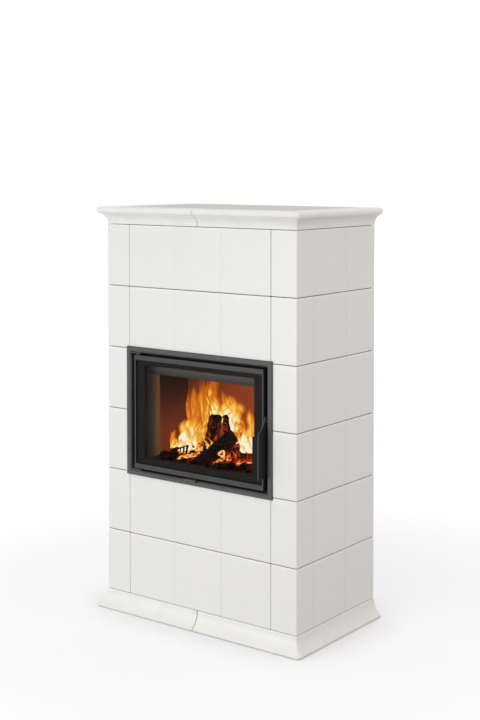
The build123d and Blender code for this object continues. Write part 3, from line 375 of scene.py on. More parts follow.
def heat_tinted_stainless(add, place):
    """Stainless sheet, folded and often heated: dull grey going straw and brown towards the fire, under a
    film of soot."""
    low, high = (body_low + reach("air_wash_deflector")[i] / 1000 for i in (4, 5))
    height = add("SeparateXYZ", place, out="Z")
    film = add("TexNoise", place, Scale=per_mm(28), Detail=4)
    down = add("MapRange", height, From_Min=low, From_Max=high)
    both = add("Math", film, 0.35, down, operation="MULTIPLY_ADD")
    stops = (0.15, "#37312F"), (0.45, "#545459"), (1, "#686A70")
    brushed = add("Mapping", place, Scale=(per_mm(40), per_mm(1.2), per_mm(1.2)))
    marks = add("TexNoise", brushed, Scale=1, Detail=2)
    # painted light: a faint grey glow all over the sheet stands in for the firelight that falls on it
    firelight = {"Emission_Color": "#2A2A2E", "Emission_Strength": 0.5}
    return solid(add, both, stops, [(marks, 0.00006, 0.5)], Metallic=0.7, Roughness=0.5, **firelight)


def fire_glow(add, place, soot, heart, squeeze, span, stops):
    """Warm light that falls off from the heart of the fire, with a squeeze for each axis, over a span in
    metres."""
    away = add("VectorMath", place, tuple(at(*heart)), operation="SUBTRACT")
    squeezed = add("VectorMath", away, squeeze, operation="MULTIPLY")
    far = add("VectorMath", squeezed, out="Value", operation="LENGTH")
    share = add("MapRange", far, From_Min=span[0], From_Max=span[1])
    # soot lies in clouds, so the edge of the glow wanders by a tenth of the span
    clouded = add("Math", soot, 0.2, share, operation="MULTIPLY_ADD")
    moved = add("Math", clouded, 0.1, operation="SUBTRACT")
    return add("ValToRGB", moved, stops=stops)


def fireclay_brick(add, place, strength, glow, rim=None, rim_depth=0):
    """Fireclay brick, pressed and fired, with the fire's glow on it: rough buff clay under soot. A rim at
    the front, down to a depth, may have a glow of its own."""
    grain = add("TexNoise", place, Scale=per_mm(4), Detail=5)
    soot = add("TexNoise", place, Scale=per_mm(70), Detail=3)
    light = fire_glow(add, place, soot, *glow)
    if rim:
        edge = at(0, rim_depth, 0).y
        depth = add("SeparateXYZ", place, out="Y")
        inside = add("MapRange", depth, From_Min=edge - 0.001, From_Max=edge + 0.001)
        lit = fire_glow(add, place, soot, *rim)
        light = add("Mix", Factor=inside, A=lit, B=light, out="Result", data_type="RGBA")
    stops = (0.3, "#1C1511"), (0.7, "#33281F")
    firelight = {"Emission_Color": light, "Emission_Strength": strength}
    return solid(add, soot, stops, [(grain, 0.0006, 0.6)], Roughness=0.9, IOR=1.5, **firelight)


def vermiculite_board(add, place):
    """Vermiculite board, pressed: a light brown board of small shining flakes, darkened by smoke."""
    flakes = add("TexVoronoi", place, Scale=per_mm(3), out="Color")
    value = add("SeparateColor", flakes)
    return solid(add, value, [(0, "#3A2D20"), (1, "#7A6448")], [(value, 0.0004, 0.5)], Roughness=0.8)


def sand_cast_iron(add, place):
    """Grey iron, cast in sand and burnt in: dark brown-grey with the sand's grain and rust in its low
    places."""
    sand = add("TexNoise", place, Scale=per_mm(1.8), Detail=4)
    rust = add("TexNoise", place, Scale=per_mm(20), Detail=4)
    stops = (0.35, "#26211F"), (0.7, "#4A3328")
    return solid(add, rust, stops, [(sand, 0.0005, 0.6)], Metallic=0.4, Roughness=0.7)


def sawn_magnesite(add, place):
    """Magnesite storage brick, pressed and sawn: dense brown-grey stone with pale grains and straight saw
    marks."""
    grains = add("TexVoronoi", place, Scale=per_mm(5), out="Color")
    value = add("SeparateColor", grains)
    stops = (0, "#4A403A"), (0.8, "#63574E"), (1, "#94887C")
    cut = add("Mapping", place, Scale=(per_mm(60), per_mm(60), per_mm(3)))
    saw = add("TexNoise", cut, Scale=1, Detail=2)
    return solid(add, value, stops, [(saw, 0.0005, 0.5)], Roughness=0.85)


def charred_beech(add, place, ember_glow):
    """Split beech, burnt to char: black blocks 12 to 20 mm across that crack apart, with fire glowing in
    the cracks and a white bloom of ash on the edges."""
    heat = add("Attribute", out="Fac", attribute_name="burning")
    drift = add("TexNoise", place, Scale=per_mm(18), Detail=3, out="Color")
    bent = add("VectorMath", drift, (0.012, 0.012, 0.012), place, operation="MULTIPLY_ADD")
    blocks = add("TexVoronoi", bent, Scale=per_mm(15), feature="DISTANCE_TO_EDGE")
    patches = add("TexNoise", place, Scale=per_mm(30), Detail=3)
    fine = add("TexNoise", place, Scale=per_mm(3), Detail=4)
    crack = add("MapRange", blocks, From_Max=0.13, To_Min=1, To_Max=0)
    lit = add("MapRange", patches, From_Min=0.46, From_Max=0.62)
    open_crack = add("Math", crack, lit, operation="MULTIPLY")
    hot = add("Math", open_crack, heat, operation="MULTIPLY")
    skin = add("MapRange", heat, From_Min=0.55, From_Max=2.6, To_Max=2)
    speckled = add("Math", skin, fine, operation="MULTIPLY")
    total = add("Math", hot, speckled, operation="ADD", use_clamp=True)
    fire = [(0, "#000000"), (1, "#FFD27A"), (0.12, "#3A0A02"), (0.35, "#B32A08"), (0.65, "#F5791A")]
    glow = add("ValToRGB", total, stops=fire)
    relief = add("MapRange", blocks, From_Max=0.25)
    stops = (0.35, "#080605"), (0.62, "#130E0C"), (0.8, "#2E2622")
    look = {"Roughness": 0.75, "Specular_IOR_Level": 0.2}
    firelight = {"Emission_Color": glow, "Emission_Strength": ember_glow}
    return solid(add, fine, stops, ((relief, 0.003, 0.9), (fine, 0.0008, 0.7)), **look, **firelight)


def glowing_charcoal(add, place, ember_glow):
    """Burning charcoal and ash: black lumps on a bed that glows red to yellow between them, greyed by ash
    in places."""
    heat = add("Attribute", out="Fac", attribute_name="burning")
    crumbs = add("TexNoise", place, Scale=per_mm(9), Detail=4)
    fine = add("TexNoise", place, Scale=per_mm(2.5), Detail=3)
    spots = add("MapRange", crumbs, From_Min=0.62, From_Max=0.38)
    hot = add("Math", spots, heat, operation="MULTIPLY", use_clamp=True)
    fire = [(0, "#000000"), (1, "#FFE39A"), (0.2, "#4A0D03"), (0.45, "#C63A0A"), (0.75, "#FB9A2C")]
    glow = add("ValToRGB", hot, stops=fire)
    stops = (0.4, "#040202"), (0.6, "#0C0807"), (0.74, "#2B2624")
    look = {"Roughness": 0.9, "Specular_IOR_Level": 0.2}
    firelight = {"Emission_Color": glow, "Emission_Strength": ember_glow}
    return solid(add, crumbs, stops, [(fine, 0.0012, 0.8)], **look, **firelight)


def wood_gas_flame(add, place, flame_glow):
    """Flame of burning wood gas: no surface of its own, only light, near white at the root, yellow, then
    orange, torn into upright streaks and fading out at its sides and tip."""
    heat, side, rise = (add("Attribute", out="Fac", attribute_name=n) for n in ("burning", "side", "rise"))
    # streaks about 20 mm wide and 75 mm tall
    stretched = add("Mapping", place, Scale=(per_mm(20), per_mm(20), per_mm(75)))
    streaks = add("TexNoise", stretched, Scale=1, Detail=3, Distortion=0.8)
    core = add("Math", side, 2, operation="POWER")
    middle = add("Math", 1, core, operation="SUBTRACT")
    fade = add("MapRange", rise, From_Min=0.15, To_Min=1, To_Max=0)
    root = add("MapRange", rise, From_Min=-0.02, From_Max=0.14, interpolation_type="SMOOTHSTEP")
    length = add("Math", root, fade, operation="MULTIPLY")
    shape = add("Math", middle, length, operation="MULTIPLY")
    torn = add("MapRange", streaks, From_Min=0.3, From_Max=0.7, To_Min=0.62, To_Max=1.42)
    level = add("Math", shape, torn, operation="MULTIPLY")
    warm = add("Math", level, heat, operation="MULTIPLY", use_clamp=True)
    stops = [(0, "#5E1B06"), (1, "#FFFBE6"), (0.16, "#B2500F"), (0.34, "#E07F22"), (0.52, "#F9B23A")]
    stops += [(0.72, "#FFE068"), (0.88, "#FFF0A6")]
    colour = add("ValToRGB", warm, stops=stops)
    body = add("MapRange", level, From_Min=0.05, From_Max=0.5, interpolation_type="SMOOTHSTEP")
    flame = {"Alpha": body, "Emission_Color": colour, "Emission_Strength": flame_glow}
    return add("BsdfPrincipled", Base_Color="#000000", Roughness=1, Specular_IOR_Level=0, **flame)


def matt_white_paper(add, place):
    """Matt white paper: plain white to the camera and in reflections, with the stove's soft shadow on
    it."""
    fibre = add("TexNoise", place, Scale=per_mm(6), Detail=2)
    tone = add("ValToRGB", fibre, stops=[(0.3, "#C0BFC1"), (0.7, "#C4C3C6")])
    paper = add("BsdfDiffuse", Color=tone)
    # the paper is lit less the further it is from the lamp, so its own white grows with the distance
    away = add("VectorMath", place, out="Value", operation="LENGTH")
    lift = add("MapRange", away, From_Min=1, From_Max=2.5, To_Min=0.5, To_Max=0.67)
    # close to the stove's foot the white dims, as the paper there sees little of the room
    open_share = add("AmbientOcclusion", Distance=0.2, out="AO", samples=8)
    dimmed = add("MapRange", open_share, To_Min=0.36, To_Max=1)
    level = add("Math", lift, dimmed, operation="MULTIPLY")
    white = add("Emission", Color="#FFFFFF", Strength=level)
    kinds = ("Camera", "Glossy", "Transmission")
    camera, gloss, through = (add("LightPath", out=f"Is {kind} Ray") for kind in kinds)
    rays = add("Math", camera, gloss, operation="ADD")
    rays = add("Math", rays, through, operation="ADD", use_clamp=True)
    both = add("AddShader", paper, white)
    return add("MixShader", rays, paper, both)


def dress(nodes, name, surface, *values):
    """Gives nodes of the frame, listed in one string, a new material."""
    material = make_material(name, surface, *values)
    for node in nodes.split():
        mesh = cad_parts[node].data
        mesh.materials.clear()
        mesh.materials.append(material)


# ---------------------------------------------------------------- tiles
def rounded_rim(along, up, length, height, radius):
    """Where places on a flat face go once its rim is rounded: along, up, and how far back from the
    face."""
    out_along = np.minimum(along - radius, 0) + np.maximum(along - (length - radius), 0)
    out_up = np.minimum(up - radius, 0) + np.maximum(up - (height - radius), 0)
    far = np.hypot(out_along, out_up)
    pull = np.where(far > radius, radius / np.maximum(far, 1e-9), 1)
    new_along, new_up = out_along * pull, out_up * pull
    back = radius - np.sqrt(np.maximum(radius**2 - new_along**2 - new_up**2, 0))
    return along + new_along - out_along, up + new_up - out_up, back


def stations(length, radius, marks=(), step=24):
    """Places along an edge: close together over its rounded ends and round each mark, a step apart
    between."""
    bend = [radius * (1 - math.cos(angle)) for angle in np.linspace(0, math.pi / 2, 6)]
    spots = sorted({round(s, 4) for s in [*bend, *(length - b for b in bend), *marks]})
    filled = []
    for a, b in zip(spots, spots[1:]):
        count = max(1, round((b - a) / step))
        filled += [a + (b - a) * i / count for i in range(count)]
    return np.array([*filled, spots[-1]])


def glazed_tile(node, path, length, marks, settings, material, corner_marks=()):
    """A tile made from its face: rim rounded, grooves pressed in at the marks, face slightly wavy, then
    straight back to a flat rear.

    path(along, back) gives across and depth for a place along the face and how far it lies behind it.
    """
    name = "glazed_" + node
    low, high = reach(node)[4:]
    # the tile stops short of its neighbours, so the joint shows as a line, the widest one under the
    # cornice
    gap = 1.2 if high > reach("cornice_left")[4] - 3 else 0.5
    low, high = low + 0.2, high - gap
    radius = settings.edge_radius * 1000
    groove = settings.groove_depth * 1000
    half_groove = 2
    offsets = (-half_groove, -1.3, -0.6, 0, 0.6, 1.3, half_groove)
    along = stations(length, radius, [*(m + o for m in marks for o in offsets), *corner_marks])
    up = stations(high - low, radius)
    grid_along, grid_up = np.meshgrid(along, up)
    new_along, new_up, back = rounded_rim(grid_along, grid_up, length, high - low, radius)
    # the rim marks carry the coat's thinning and painted shade: fully over the level rims, less over the
    # upright ones and in the grooves
    from_level = np.minimum(grid_up, high - low - grid_up)
    rim = back / radius * np.where(from_level < radius, 1.0, 0.4)
    for mark in marks:
        hollow = np.clip(1 - ((new_along - mark) / half_groove) ** 2, 0, 1)
        back = back + groove * hollow
        rim = np.maximum(rim, 0.25 * hollow)
    # the waves fade out within 14 mm of the rim
    edge = np.minimum(np.minimum(grid_along, length - grid_along), from_level)
    swing = settings.wave * 1000 * np.clip((edge - radius) / 14, 0, 1)
    seed = (sum(ord(c) for c in name) % 97) * 3.7
    rows, columns = grid_up.shape
    points = []
    for i in range(rows):
        for j in range(columns):
            wave = waver(new_along[i, j] / 120, new_up[i, j] / 90, seed) * swing[i, j]
            points.append((*path(new_along[i, j], back[i, j] + wave), low + new_up[i, j]))
    loop = border(rows, columns)
    first, count = len(points), len(loop)
    front, rear = reach("front_tile_1")[2:4]
    for index in loop:
        i, j = divmod(index, columns)
        points.append((*path(new_along[i, j], rear - front), low + new_up[i, j]))
    faces = grid_faces(rows, columns) + skirt(loop, first) + rear_faces(first, rows, columns, count)
    rims = [*np.clip(rim, 0, 1).ravel(), *[1.0] * count]
    piece = make_piece(name, points, faces, material, marks={"rim": rims})
    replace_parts(piece, node)


def rear_faces(first, rows, columns, count):
    """The flat rear of a tile as upright strips between its bottom and top rows, the end ones with the
    end columns."""
    bottom = [first + j for j in range(columns)]
    right = [first + columns - 1 + i for i in range(rows)]
    top = [right[-1] + k for k in range(columns)]
    left = [first, *[first + count - i for i in range(1, rows - 1)], top[-1]]
    faces = []
    for j in range(columns - 1):
        a, b, c, d = bottom[j], bottom[j + 1], top[columns - 2 - j], top[columns - 1 - j]
        if j == 0:
            faces.append((b, c, *reversed(left[1:]), a))
        elif j == columns - 2:
            faces.append((*right, d, a))
        else:
            faces.append((a, b, c, d))
    return faces


def make_tiles(settings):
    """Every tile of the six courses, each in the place of its node."""
    material = make_material("glazed_earthenware", glazed_earthenware, settings.colour)
    half_body, _, body_depth = reach("corner_tile_right_1")[1:4]
    bend = settings.corner_radius * 1000
    quarter = bend * math.pi / 2
    for node in sorted(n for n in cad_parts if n.startswith("corner_tile")):
        left, right = reach(node)[:2]
        side, end = (-1, -right) if "left" in node else (1, left)
        leg = half_body - end - bend

        def round_corner(along, back, side=side, end=end, leg=leg):
            if along <= leg:
                across, depth = end + along, back
            elif along < leg + quarter:
                angle = (along - leg) / bend
                across = half_body - bend + (bend - back) * math.sin(angle)
                depth = bend - (bend - back) * math.cos(angle)
            else:
                across, depth = half_body - back, bend + along - leg - quarter
            return side * min(across, half_body - back), max(depth, back)

        length = leg + quarter + body_depth - bend
        # two grooves divide the side in three
        grooves = [leg + quarter - bend + depth for depth in (98, 294)]
        corner = [leg + quarter * k / 6 for k in range(7)]
        glazed_tile(node, round_corner, length, grooves, settings, material, corner)
    for node in sorted(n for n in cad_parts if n.startswith("front_tile")):
        left, right = reach(node)[:2]
        third = (right - left) / 3

        def flat(along, back, left=left):
            return left + along, back

        glazed_tile(node, flat, right - left, (third, 2 * third), settings, material)


# ---------------------------------------------------------------- mouldings
def arc(start, middle, end, steps):
    """Points along the circle through three points, the first left out."""
    (ax, ay), (bx, by), (cx, cy) = start, middle, end
    d = 2 * (ax * (by - cy) + bx * (cy - ay) + cx * (ay - by))
    ux = ((ax**2 + ay**2) * (by - cy) + (bx**2 + by**2) * (cy - ay) + (cx**2 + cy**2) * (ay - by)) / d
    uy = ((ax**2 + ay**2) * (cx - bx) + (bx**2 + by**2) * (ax - cx) + (cx**2 + cy**2) * (bx - ax)) / d
    radius = math.hypot(ax - ux, ay - uy)
    a, b, c = (math.atan2(y - uy, x - ux) for x, y in (start, middle, end))
    turn = (c - a) % (2 * math.pi)
    if (b - a) % (2 * math.pi) > turn:
        turn -= 2 * math.pi
    angles = [a + turn * k / steps for k in range(1, steps + 1)]
    return [(ux + radius * math.cos(angle), uy + radius * math.sin(angle)) for angle in angles]


def plinth_outline():
    """The plinth's section, (overhang, height above the floor): foot, shoulder, cove and lip."""
    outline = [(-60, 0), (26, 0)]
    outline += arc((26, 0), (26 + 4 * math.sin(math.pi / 4), 4 - 4 * math.cos(math.pi / 4)), (30, 4), 6)
    outline += arc((30, 4), (30.1, 7.6), (27.4, 11), 5)
    outline += arc((27.4, 11), (25.6, 12.4), (24, 13), 3)
    outline += arc((24, 13), (9, 31.5), (3, 58), 16)
    return outline + [(3, 58.6), (2.6, 60), (1, 62.4), (0, 63), (-60, 63)]


def cornice_outline():
    """The cornice's section, (overhang, height above its underside): cove, small step, big roll and slab
    ledge."""
    outline = [(-60, 0), (0, 0), (0, 3)]
    outline += arc((0, 3), (4.5, 21), (17, 34), 14)
    outline += [(17, 36), (20, 36)]
    outline += arc((20, 36), (32, 48), (20, 60), 16)
    return outline + [(-44.2, 60), (-45, 59.2), (-45, 29.5), (-60, 29.5)]


def swept_moulding(piece_name, node, outline, half_joint, material):
    """Half of a moulding: its section run along the front, round the corner and down the side, eased
    where the halves meet."""
    side = -1 if "left" in node else 1
    bottom = reach(node)[4]
    half_body, _, rear = reach("corner_tile_right_1")[1:4]
    start = reach("plinth_right")[0] + half_joint
    ease = 2.2
    section = np.array(outline, float)
    run_in, run_out = section - np.roll(section, 1, 0), np.roll(section, -1, 0) - section
    normal = sum(run / np.linalg.norm(run, axis=1)[:, None] for run in (run_in, run_out))
    normal = np.stack([normal[:, 1], -normal[:, 0]], 1)
    normal /= np.maximum(np.linalg.norm(normal, axis=1)[:, None], 1e-9)
    points = []
    ends = [ease * (1 - math.cos(a)) for a in np.linspace(0, math.pi / 2, 6)]
    for t in (*ends, *range(30, 331, 60)):
        inward = ease - math.sqrt(max(ease**2 - (ease - t) ** 2, 0)) if t < ease else 0
        for (over, up), (nx, ny) in zip(section, normal):
            points.append((start + t, nx * inward - over, up - ny * inward))
    for k in range(9):
        angle = math.pi / 2 * k / 8
        for over, up in section:
            # the corner is rounded by 3 mm, and more the further the section stands out
            bend = 3 + 0.35 * over if over > -8 else 0
            across = half_body + over - bend + bend * math.sin(angle)
            points.append((across, -over + bend - bend * math.cos(angle), up))
    for depth in (*range(70, 431, 60), rear):
        points += [(half_body + over, depth, up) for over, up in section]
    points = [(side * across, depth, bottom + up) for across, depth, up in points]
    count = len(section)
    rows = len(points) // count
    faces = grid_faces(rows, count, closed=True)
    faces += [tuple(range(count)), tuple((rows - 1) * count + j for j in range(count))]
    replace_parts(make_piece(piece_name, points, faces, material, crease=28), node)


# ---------------------------------------------------------------- glass
def print_border(width, material):
    """The border printed on the back of the glass, a given width at its sides: a thin ring with round
    corners."""
    pane, leaf = reach("door_glass"), reach("door_frame")
    outer = (pane[0] + 0.6, pane[1] - 0.6, pane[4] + 0.6, pane[5] - 0.6)
    inner = (leaf[0] + width, leaf[1] - width, leaf[4] + 40, leaf[5] - 32.5)
    loops = []
    for (left, right, low, high), bend in ((outer, 0.8), (inner, 2)):
        loop = []
        for x, z, begin in ((right, low, -90), (right, high, 0), (left, high, 90), (left, low, 180)):
            cx = x - bend if x == right else x + bend
            cz = z + bend if z == low else z - bend
            for k in range(7):
                angle = math.radians(begin + 15 * k)
                loop.append((cx + bend * math.cos(angle), cz + bend * math.sin(angle)))
        loops.append(loop)
    count = len(loops[0])
    # the print lies just inside the pane's rear face
    depths = (pane[3] - 0.35, pane[3] - 0.15)
    points = [(x, depth, z) for depth in depths for loop in loops for x, z in loop]
    faces = []
    for k in range(count):
        n = (k + 1) % count
        for a, b in ((0, 1), (3, 2), (2, 0), (1, 3)):
            faces.append((a * count + k, a * count + n, b * count + n, b * count + k))
    make_piece("glass_print_border", points, faces, material, "door")


def glass_pane(material):
    """The door's glass with its long edges ground round."""
    left, right, front, back, low, high = reach("door_glass")
    grinding = ((1.2, 0), (0.35, 0.4), (0, 1.3))
    outline = [(inset, front + deep) for inset, deep in grinding]
    outline += [(inset, back - deep) for inset, deep in reversed(grinding)]
    points = []
    for inset, depth in outline:
        a, b, c, d = left + inset, right - inset, low + inset, high - inset
        points += [(a, depth, c), (b, depth, c), (b, depth, d), (a, depth, d)]
    faces = grid_faces(len(outline), 4, closed=True)
    faces += [(0, 1, 2, 3), tuple(range(len(points) - 4, len(points)))]
    piece = make_piece("door_glass_pane", points, faces, material, "door", crease=50)
    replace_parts(piece, "door_glass")


# ---------------------------------------------------------------- fire
def burnt_stick(start, end, radii, seed, heat, sides=56, rings=60, wedge=0.16, rim=0.0):
    """One burnt stick: an uneven three-cornered section, cracked into char blocks, its ends broken off:
    points, faces, heats.

    Start and end are places; radii are the half widths at the start and the end; rim is the heat round
    the start's edge.
    """
    start, end = Vector(start), Vector(end)
    length = (end - start).length
    along = (end - start).normalized()
    first = along.cross(Vector((0, 0, 1)) if abs(along.z) < 0.9 else Vector((0, 1, 0))).normalized()
    second = along.cross(first)
    points, marks = [], []
    for i in range(rings + 1):
        t = i / rings
        cap = min(t, 1 - t) * length / 6
        taper = math.sqrt(max(1 - (1 - min(cap, 1)) ** 2, 0.03))
        size = (radii[0] + (radii[1] - radii[0]) * t) * taper
        bow = 4 * math.sin(math.pi * t) * (waver(seed, 3.1) - 0.5) * 2
        for j in range(sides):
            angle = 2 * math.pi * j / sides
            split = 1 + wedge * math.cos(3 * angle + seed) + 0.06 * math.cos(2 * angle + seed * 2)
            direction = first * math.cos(angle) + second * math.sin(angle)
            base = start + along * (length * t) + direction * (size * split) + first * bow
            # char blocks 15 mm across, the coarse and the fine roughness, and the ragged ends
            cell = noise.voronoi(base / 15 + Vector((seed, 0, 0)))[0]
            crack = min((cell[1] - cell[0]) * 2.2, 1)
            rough = noise.fractal(base / 24 + Vector((0, seed, 0)), 1.0, 2.0, 4)
            grain = noise.noise(Vector((angle * 4, t * length / 60, seed)))
            depth = (-3.2 * (1 - crack) + 2.2 * rough + 0.9 * grain) * min(1, size / 14)
            end_on = Vector((math.cos(angle) * 2, math.sin(angle) * 2, seed + t))
            ragged = along * (noise.noise(end_on) * 6 * (cap < 0.5))
            points.append(tuple(base + direction * depth * taper + ragged))
            under = max(0.0, -direction.z)
            marks.append(heat * (0.75 + 0.9 * under) + rim * (0.1 < cap < 1.2))
    faces = grid_faces(rings + 1, sides, closed=True)
    faces += [tuple(range(sides)), tuple(rings * sides + j for j in range(sides))]
    return points, faces, marks


def burnt_wood(name, sticks, material, nodes=()):
    """Burnt sticks as one piece of the fire."""
    points, faces, marks = [], [], []
    for stick in sticks:
        faces += shifted(stick[1], len(points))
        points += stick[0]
        marks += stick[2]
    piece = make_piece(name, points, faces, material, crease=80, marks={"burning": marks})
    if nodes:
        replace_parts(piece, *nodes)


def ember_field(material):
    """The bed of glowing charcoal: a low mound, crumbled on top, hotter to the middle and right."""
    left, right, front, back, low, high = reach("ember_bed")
    columns, rows = 150, 70
    points, heats = [], []
    for i in range(rows):
        for j in range(columns):
            u, v = j / (columns - 1), i / (rows - 1)
            across, depth = left + (right - left) * u, front + (back - front) * v
            slope = min(min(u, 1 - u) * (right - left) / 14, min(v, 1 - v) * (back - front) / 14, 1)
            cell = noise.voronoi(Vector((across / 16, depth / 16, 0)))[0]
            lump = min((cell[1] - cell[0]) * 1.6, 1)
            crumb = waver(across / 7, depth / 7, 3)
            rise = (high - low) * slope * (0.45 + 0.4 * lump + 0.15 * crumb)
            points.append((across, depth, low + rise))
            side = 0.45 + 0.95 * math.exp(-(((across - 40) / 90) ** 2))
            heats.append(side * (1.35 - 0.9 * lump) * (0.5 + 0.5 * slope))
    loop = border(rows, columns)
    first, count = len(points), len(loop)
    points += [(*points[index][:2], low) for index in loop]
    heats += [0.3] * count
    faces = grid_faces(rows, columns) + skirt(loop, first)
    faces.append(tuple(first + k for k in range(count)))
    piece = make_piece(
        "glowing_ember_bed", points, faces, material, crease=80, marks={"burning": heats}
    )
    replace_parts(piece, "ember_bed")


def charcoal_lumps(material, number):
    """Broken charcoal along the edges of the bed and under the logs, in one mesh."""
    rng = random.Random(41)
    points, faces, heats = [], [], []
    left, right, front, back, low, _ = reach("ember_bed")
    rings, sides = 8, 12
    for k in range(number):
        # every third lump lies on the bed, the others along its front edge
        if k % 3:
            across, depth = rng.uniform(left - 30, right + 30), rng.uniform(front - 40, front + 14)
        else:
            across, depth = rng.uniform(left + 8, right - 8), rng.uniform(front + 14, back - 10)
        across = max(across, left + 4)
        size = rng.uniform(7, 16) if k % 3 else rng.uniform(5, 11)
        # in front of the small branches the lumps are small too
        size *= 0.45 if -165 < across < -70 and depth < front + 5 else 1
        height = low + size * 0.7 + (0 if k % 3 else rng.uniform(2, 8))
        heat = rng.choice((0.0, 0.0, 0.2, 0.45, 0.6)) * (0.4 + 0.6 * math.exp(-(((across - 70) / 70) ** 2)))
        heat *= 0.12 if depth < front - 8 else 1
        stretch = [rng.uniform(0.7, 1.4) for _ in range(3)]
        tumble = Euler([rng.uniform(0, 3) for _ in range(3)]).to_matrix()
        faces += shifted(grid_faces(rings + 1, sides, closed=True), len(points))
        for i in range(rings + 1):
            polar = math.pi * i / rings
            for j in range(sides):
                turn = 2 * math.pi * j / sides
                flat = math.sin(polar)
                way = Vector((flat * math.cos(turn), flat * math.sin(turn), math.cos(polar)))
                # a block with its edges knocked off, not a ball
                block = way / max(abs(a) for a in way) ** 0.75
                bulge = 0.62 + 0.4 * waver(way.x * 1.7 + k, way.y * 1.7, way.z * 1.7)
                spot = tumble @ Vector([block[a] * size * bulge * stretch[a] for a in range(3)])
                points.append((across + spot.x, depth + spot.y, max(height + spot.z, low + 0.2)))
                heats.append(heat)
    make_piece("charcoal_lumps", points, faces, material, crease=30, marks={"burning": heats})


def flame_ribbon(base, tip, width, bend, lean, seed, steps=18, across_steps=8):
    """One tongue of flame as a curved upright sheet: points, faces and the marks of its rise and its
    sides.

    Bend is how far its middle swings across and lean how far it swings in depth.
    """
    points, rises, sides = [], [], []
    for i in range(steps + 1):
        t = i / steps
        swing = math.sin(math.pi * t)
        wiggle = (waver(seed, t * 3.0) - 0.5) * width * 0.9 * t
        across, depth, height = (a + (b - a) * t for a, b in zip(base, tip))
        across += bend * swing + wiggle
        depth += lean * swing
        # narrow at the root, widest low down and drawn out towards the tip
        belly = 0.35 + 0.65 * math.sin(math.pi * min(0.08 + t * 0.75, 1)) ** 0.8
        half = width / 2 * belly * (1 - 0.75 * t**2)
        for j in range(across_steps + 1):
            s = 2 * j / across_steps - 1
            ruffle = (waver(seed + 9, t * 4, s) - 0.5) * 6
            points.append((across + half * s, depth + 10 * s * s + ruffle, height))
            rises.append(t)
            sides.append(abs(s))
    return points, grid_faces(steps + 1, across_steps + 1), rises, sides


# tongues of flame by group: across, depth and height of the root, across and height of the tip, width,
# how far the middle swings across, heat
tongues = {
    "plume": (
        (-140, 217, 525, -128, 790, 105, 6, 0.75), (-120, 212, 545, -88, 775, 80, -8, 0.8),
        (-60, 198, 640, -112, 752, 46, -10, 1.15), (-173, 200, 516, -191, 727, 30, -7, 0.65),
        (-172, 205, 519, -165, 746, 60, 5, 0.65), (-156, 210, 524, -143, 756, 70, -6, 0.72),
        (-132, 205, 536, -122, 749, 60, 6, 0.75), (-103, 200, 560, -93, 733, 50, -8, 0.81),
        (-130, 215, 539, -78, 722, 45, 7, 0.65), (-176, 185, 522, -161, 673, 46, -5, 0.98),
        (-132, 180, 536, -152, 643, 45, 5, 1), (-119, 195, 567, -99, 686, 45, 0, 1),
    ),
    "left": (
        (-182, 172, 502, -158, 640, 110, 4, 1.15), (-176, 146, 500, -166, 588, 62, 0, 2.2),
        (-236, 140, 503, -237, 569, 26, -4, 0.85), (-214, 145, 505, -222, 576, 31, -5, 0.95),
        (-198, 150, 504, -185, 593, 46, 6, 1.25), (-186, 160, 500, -165, 630, 55, -7, 1.45),
        (-170, 165, 515, -137, 624, 50, 6, 1.3), (-149, 170, 540, -113, 622, 45, -4, 0.95),
        (-138, 175, 560, -96, 612, 40, 4, 0.8), (-216, 135, 498, -186, 545, 41, 3, 1.5),
        (-175, 140, 503, -170, 570, 55, 0, 1.9), (-196, 135, 501, -193, 544, 40, 0, 1.6),
    ),
    "right_high": (
        (-40, 206, 600, -18, 722, 130, -6, 1.0), (8, 196, 590, 10, 668, 54, 5, 1.4),
        (-80, 190, 634, -101, 710, 24, 7, 1.05), (-65, 195, 636, -80, 694, 34, 5, 1.2),
        (-39, 200, 622, -42, 692, 49, 0, 1.3), (-8, 185, 613, 42, 671, 43, -7, 1.9),
        (5, 180, 588, -2, 653, 34, 4, 2.0), (-45, 195, 630, -16, 680, 49, -5, 1.5),
        (12, 190, 584, 34, 625, 38, 4, 1.0), (-77, 198, 626, -64, 670, 45, 4, 1.3),
        (20, 205, 582, 35, 638, 43, 0, 0.75),
    ),
    "right_low": (
        (92, 182, 532, 102, 680, 80, 4, 1.2), (100, 146, 534, 104, 600, 52, 0, 2.2),
        (81, 150, 542, 66, 597, 28, -4, 1.15), (87, 160, 537, 100, 679, 33, 6, 1.35),
        (105, 155, 533, 117, 661, 25, -4, 1.25), (94, 145, 541, 95, 605, 47, 0, 1.95),
        (53, 165, 555, 36, 598, 28, 4, 0.95), (21, 185, 593, 36, 630, 43, 0, 0.8),
        (112, 140, 533, 116, 582, 42, 0, 1.8), (57, 175, 554, 62, 623, 43, 4, 1.0),
    ),
    "licks": (
        (-4, 120, 551, 6, 579, 16, 4, 1.2), (-47, 110, 529, -88, 571, 13, 15, 1.2),
        (-36, 115, 544, -65, 575, 12, 12, 1.0), (-169, 90, 485, -129, 506, 30, 0, 1.3),
        (23, 120, 555, 8, 583, 12, -5, 1.1),
    ),
}


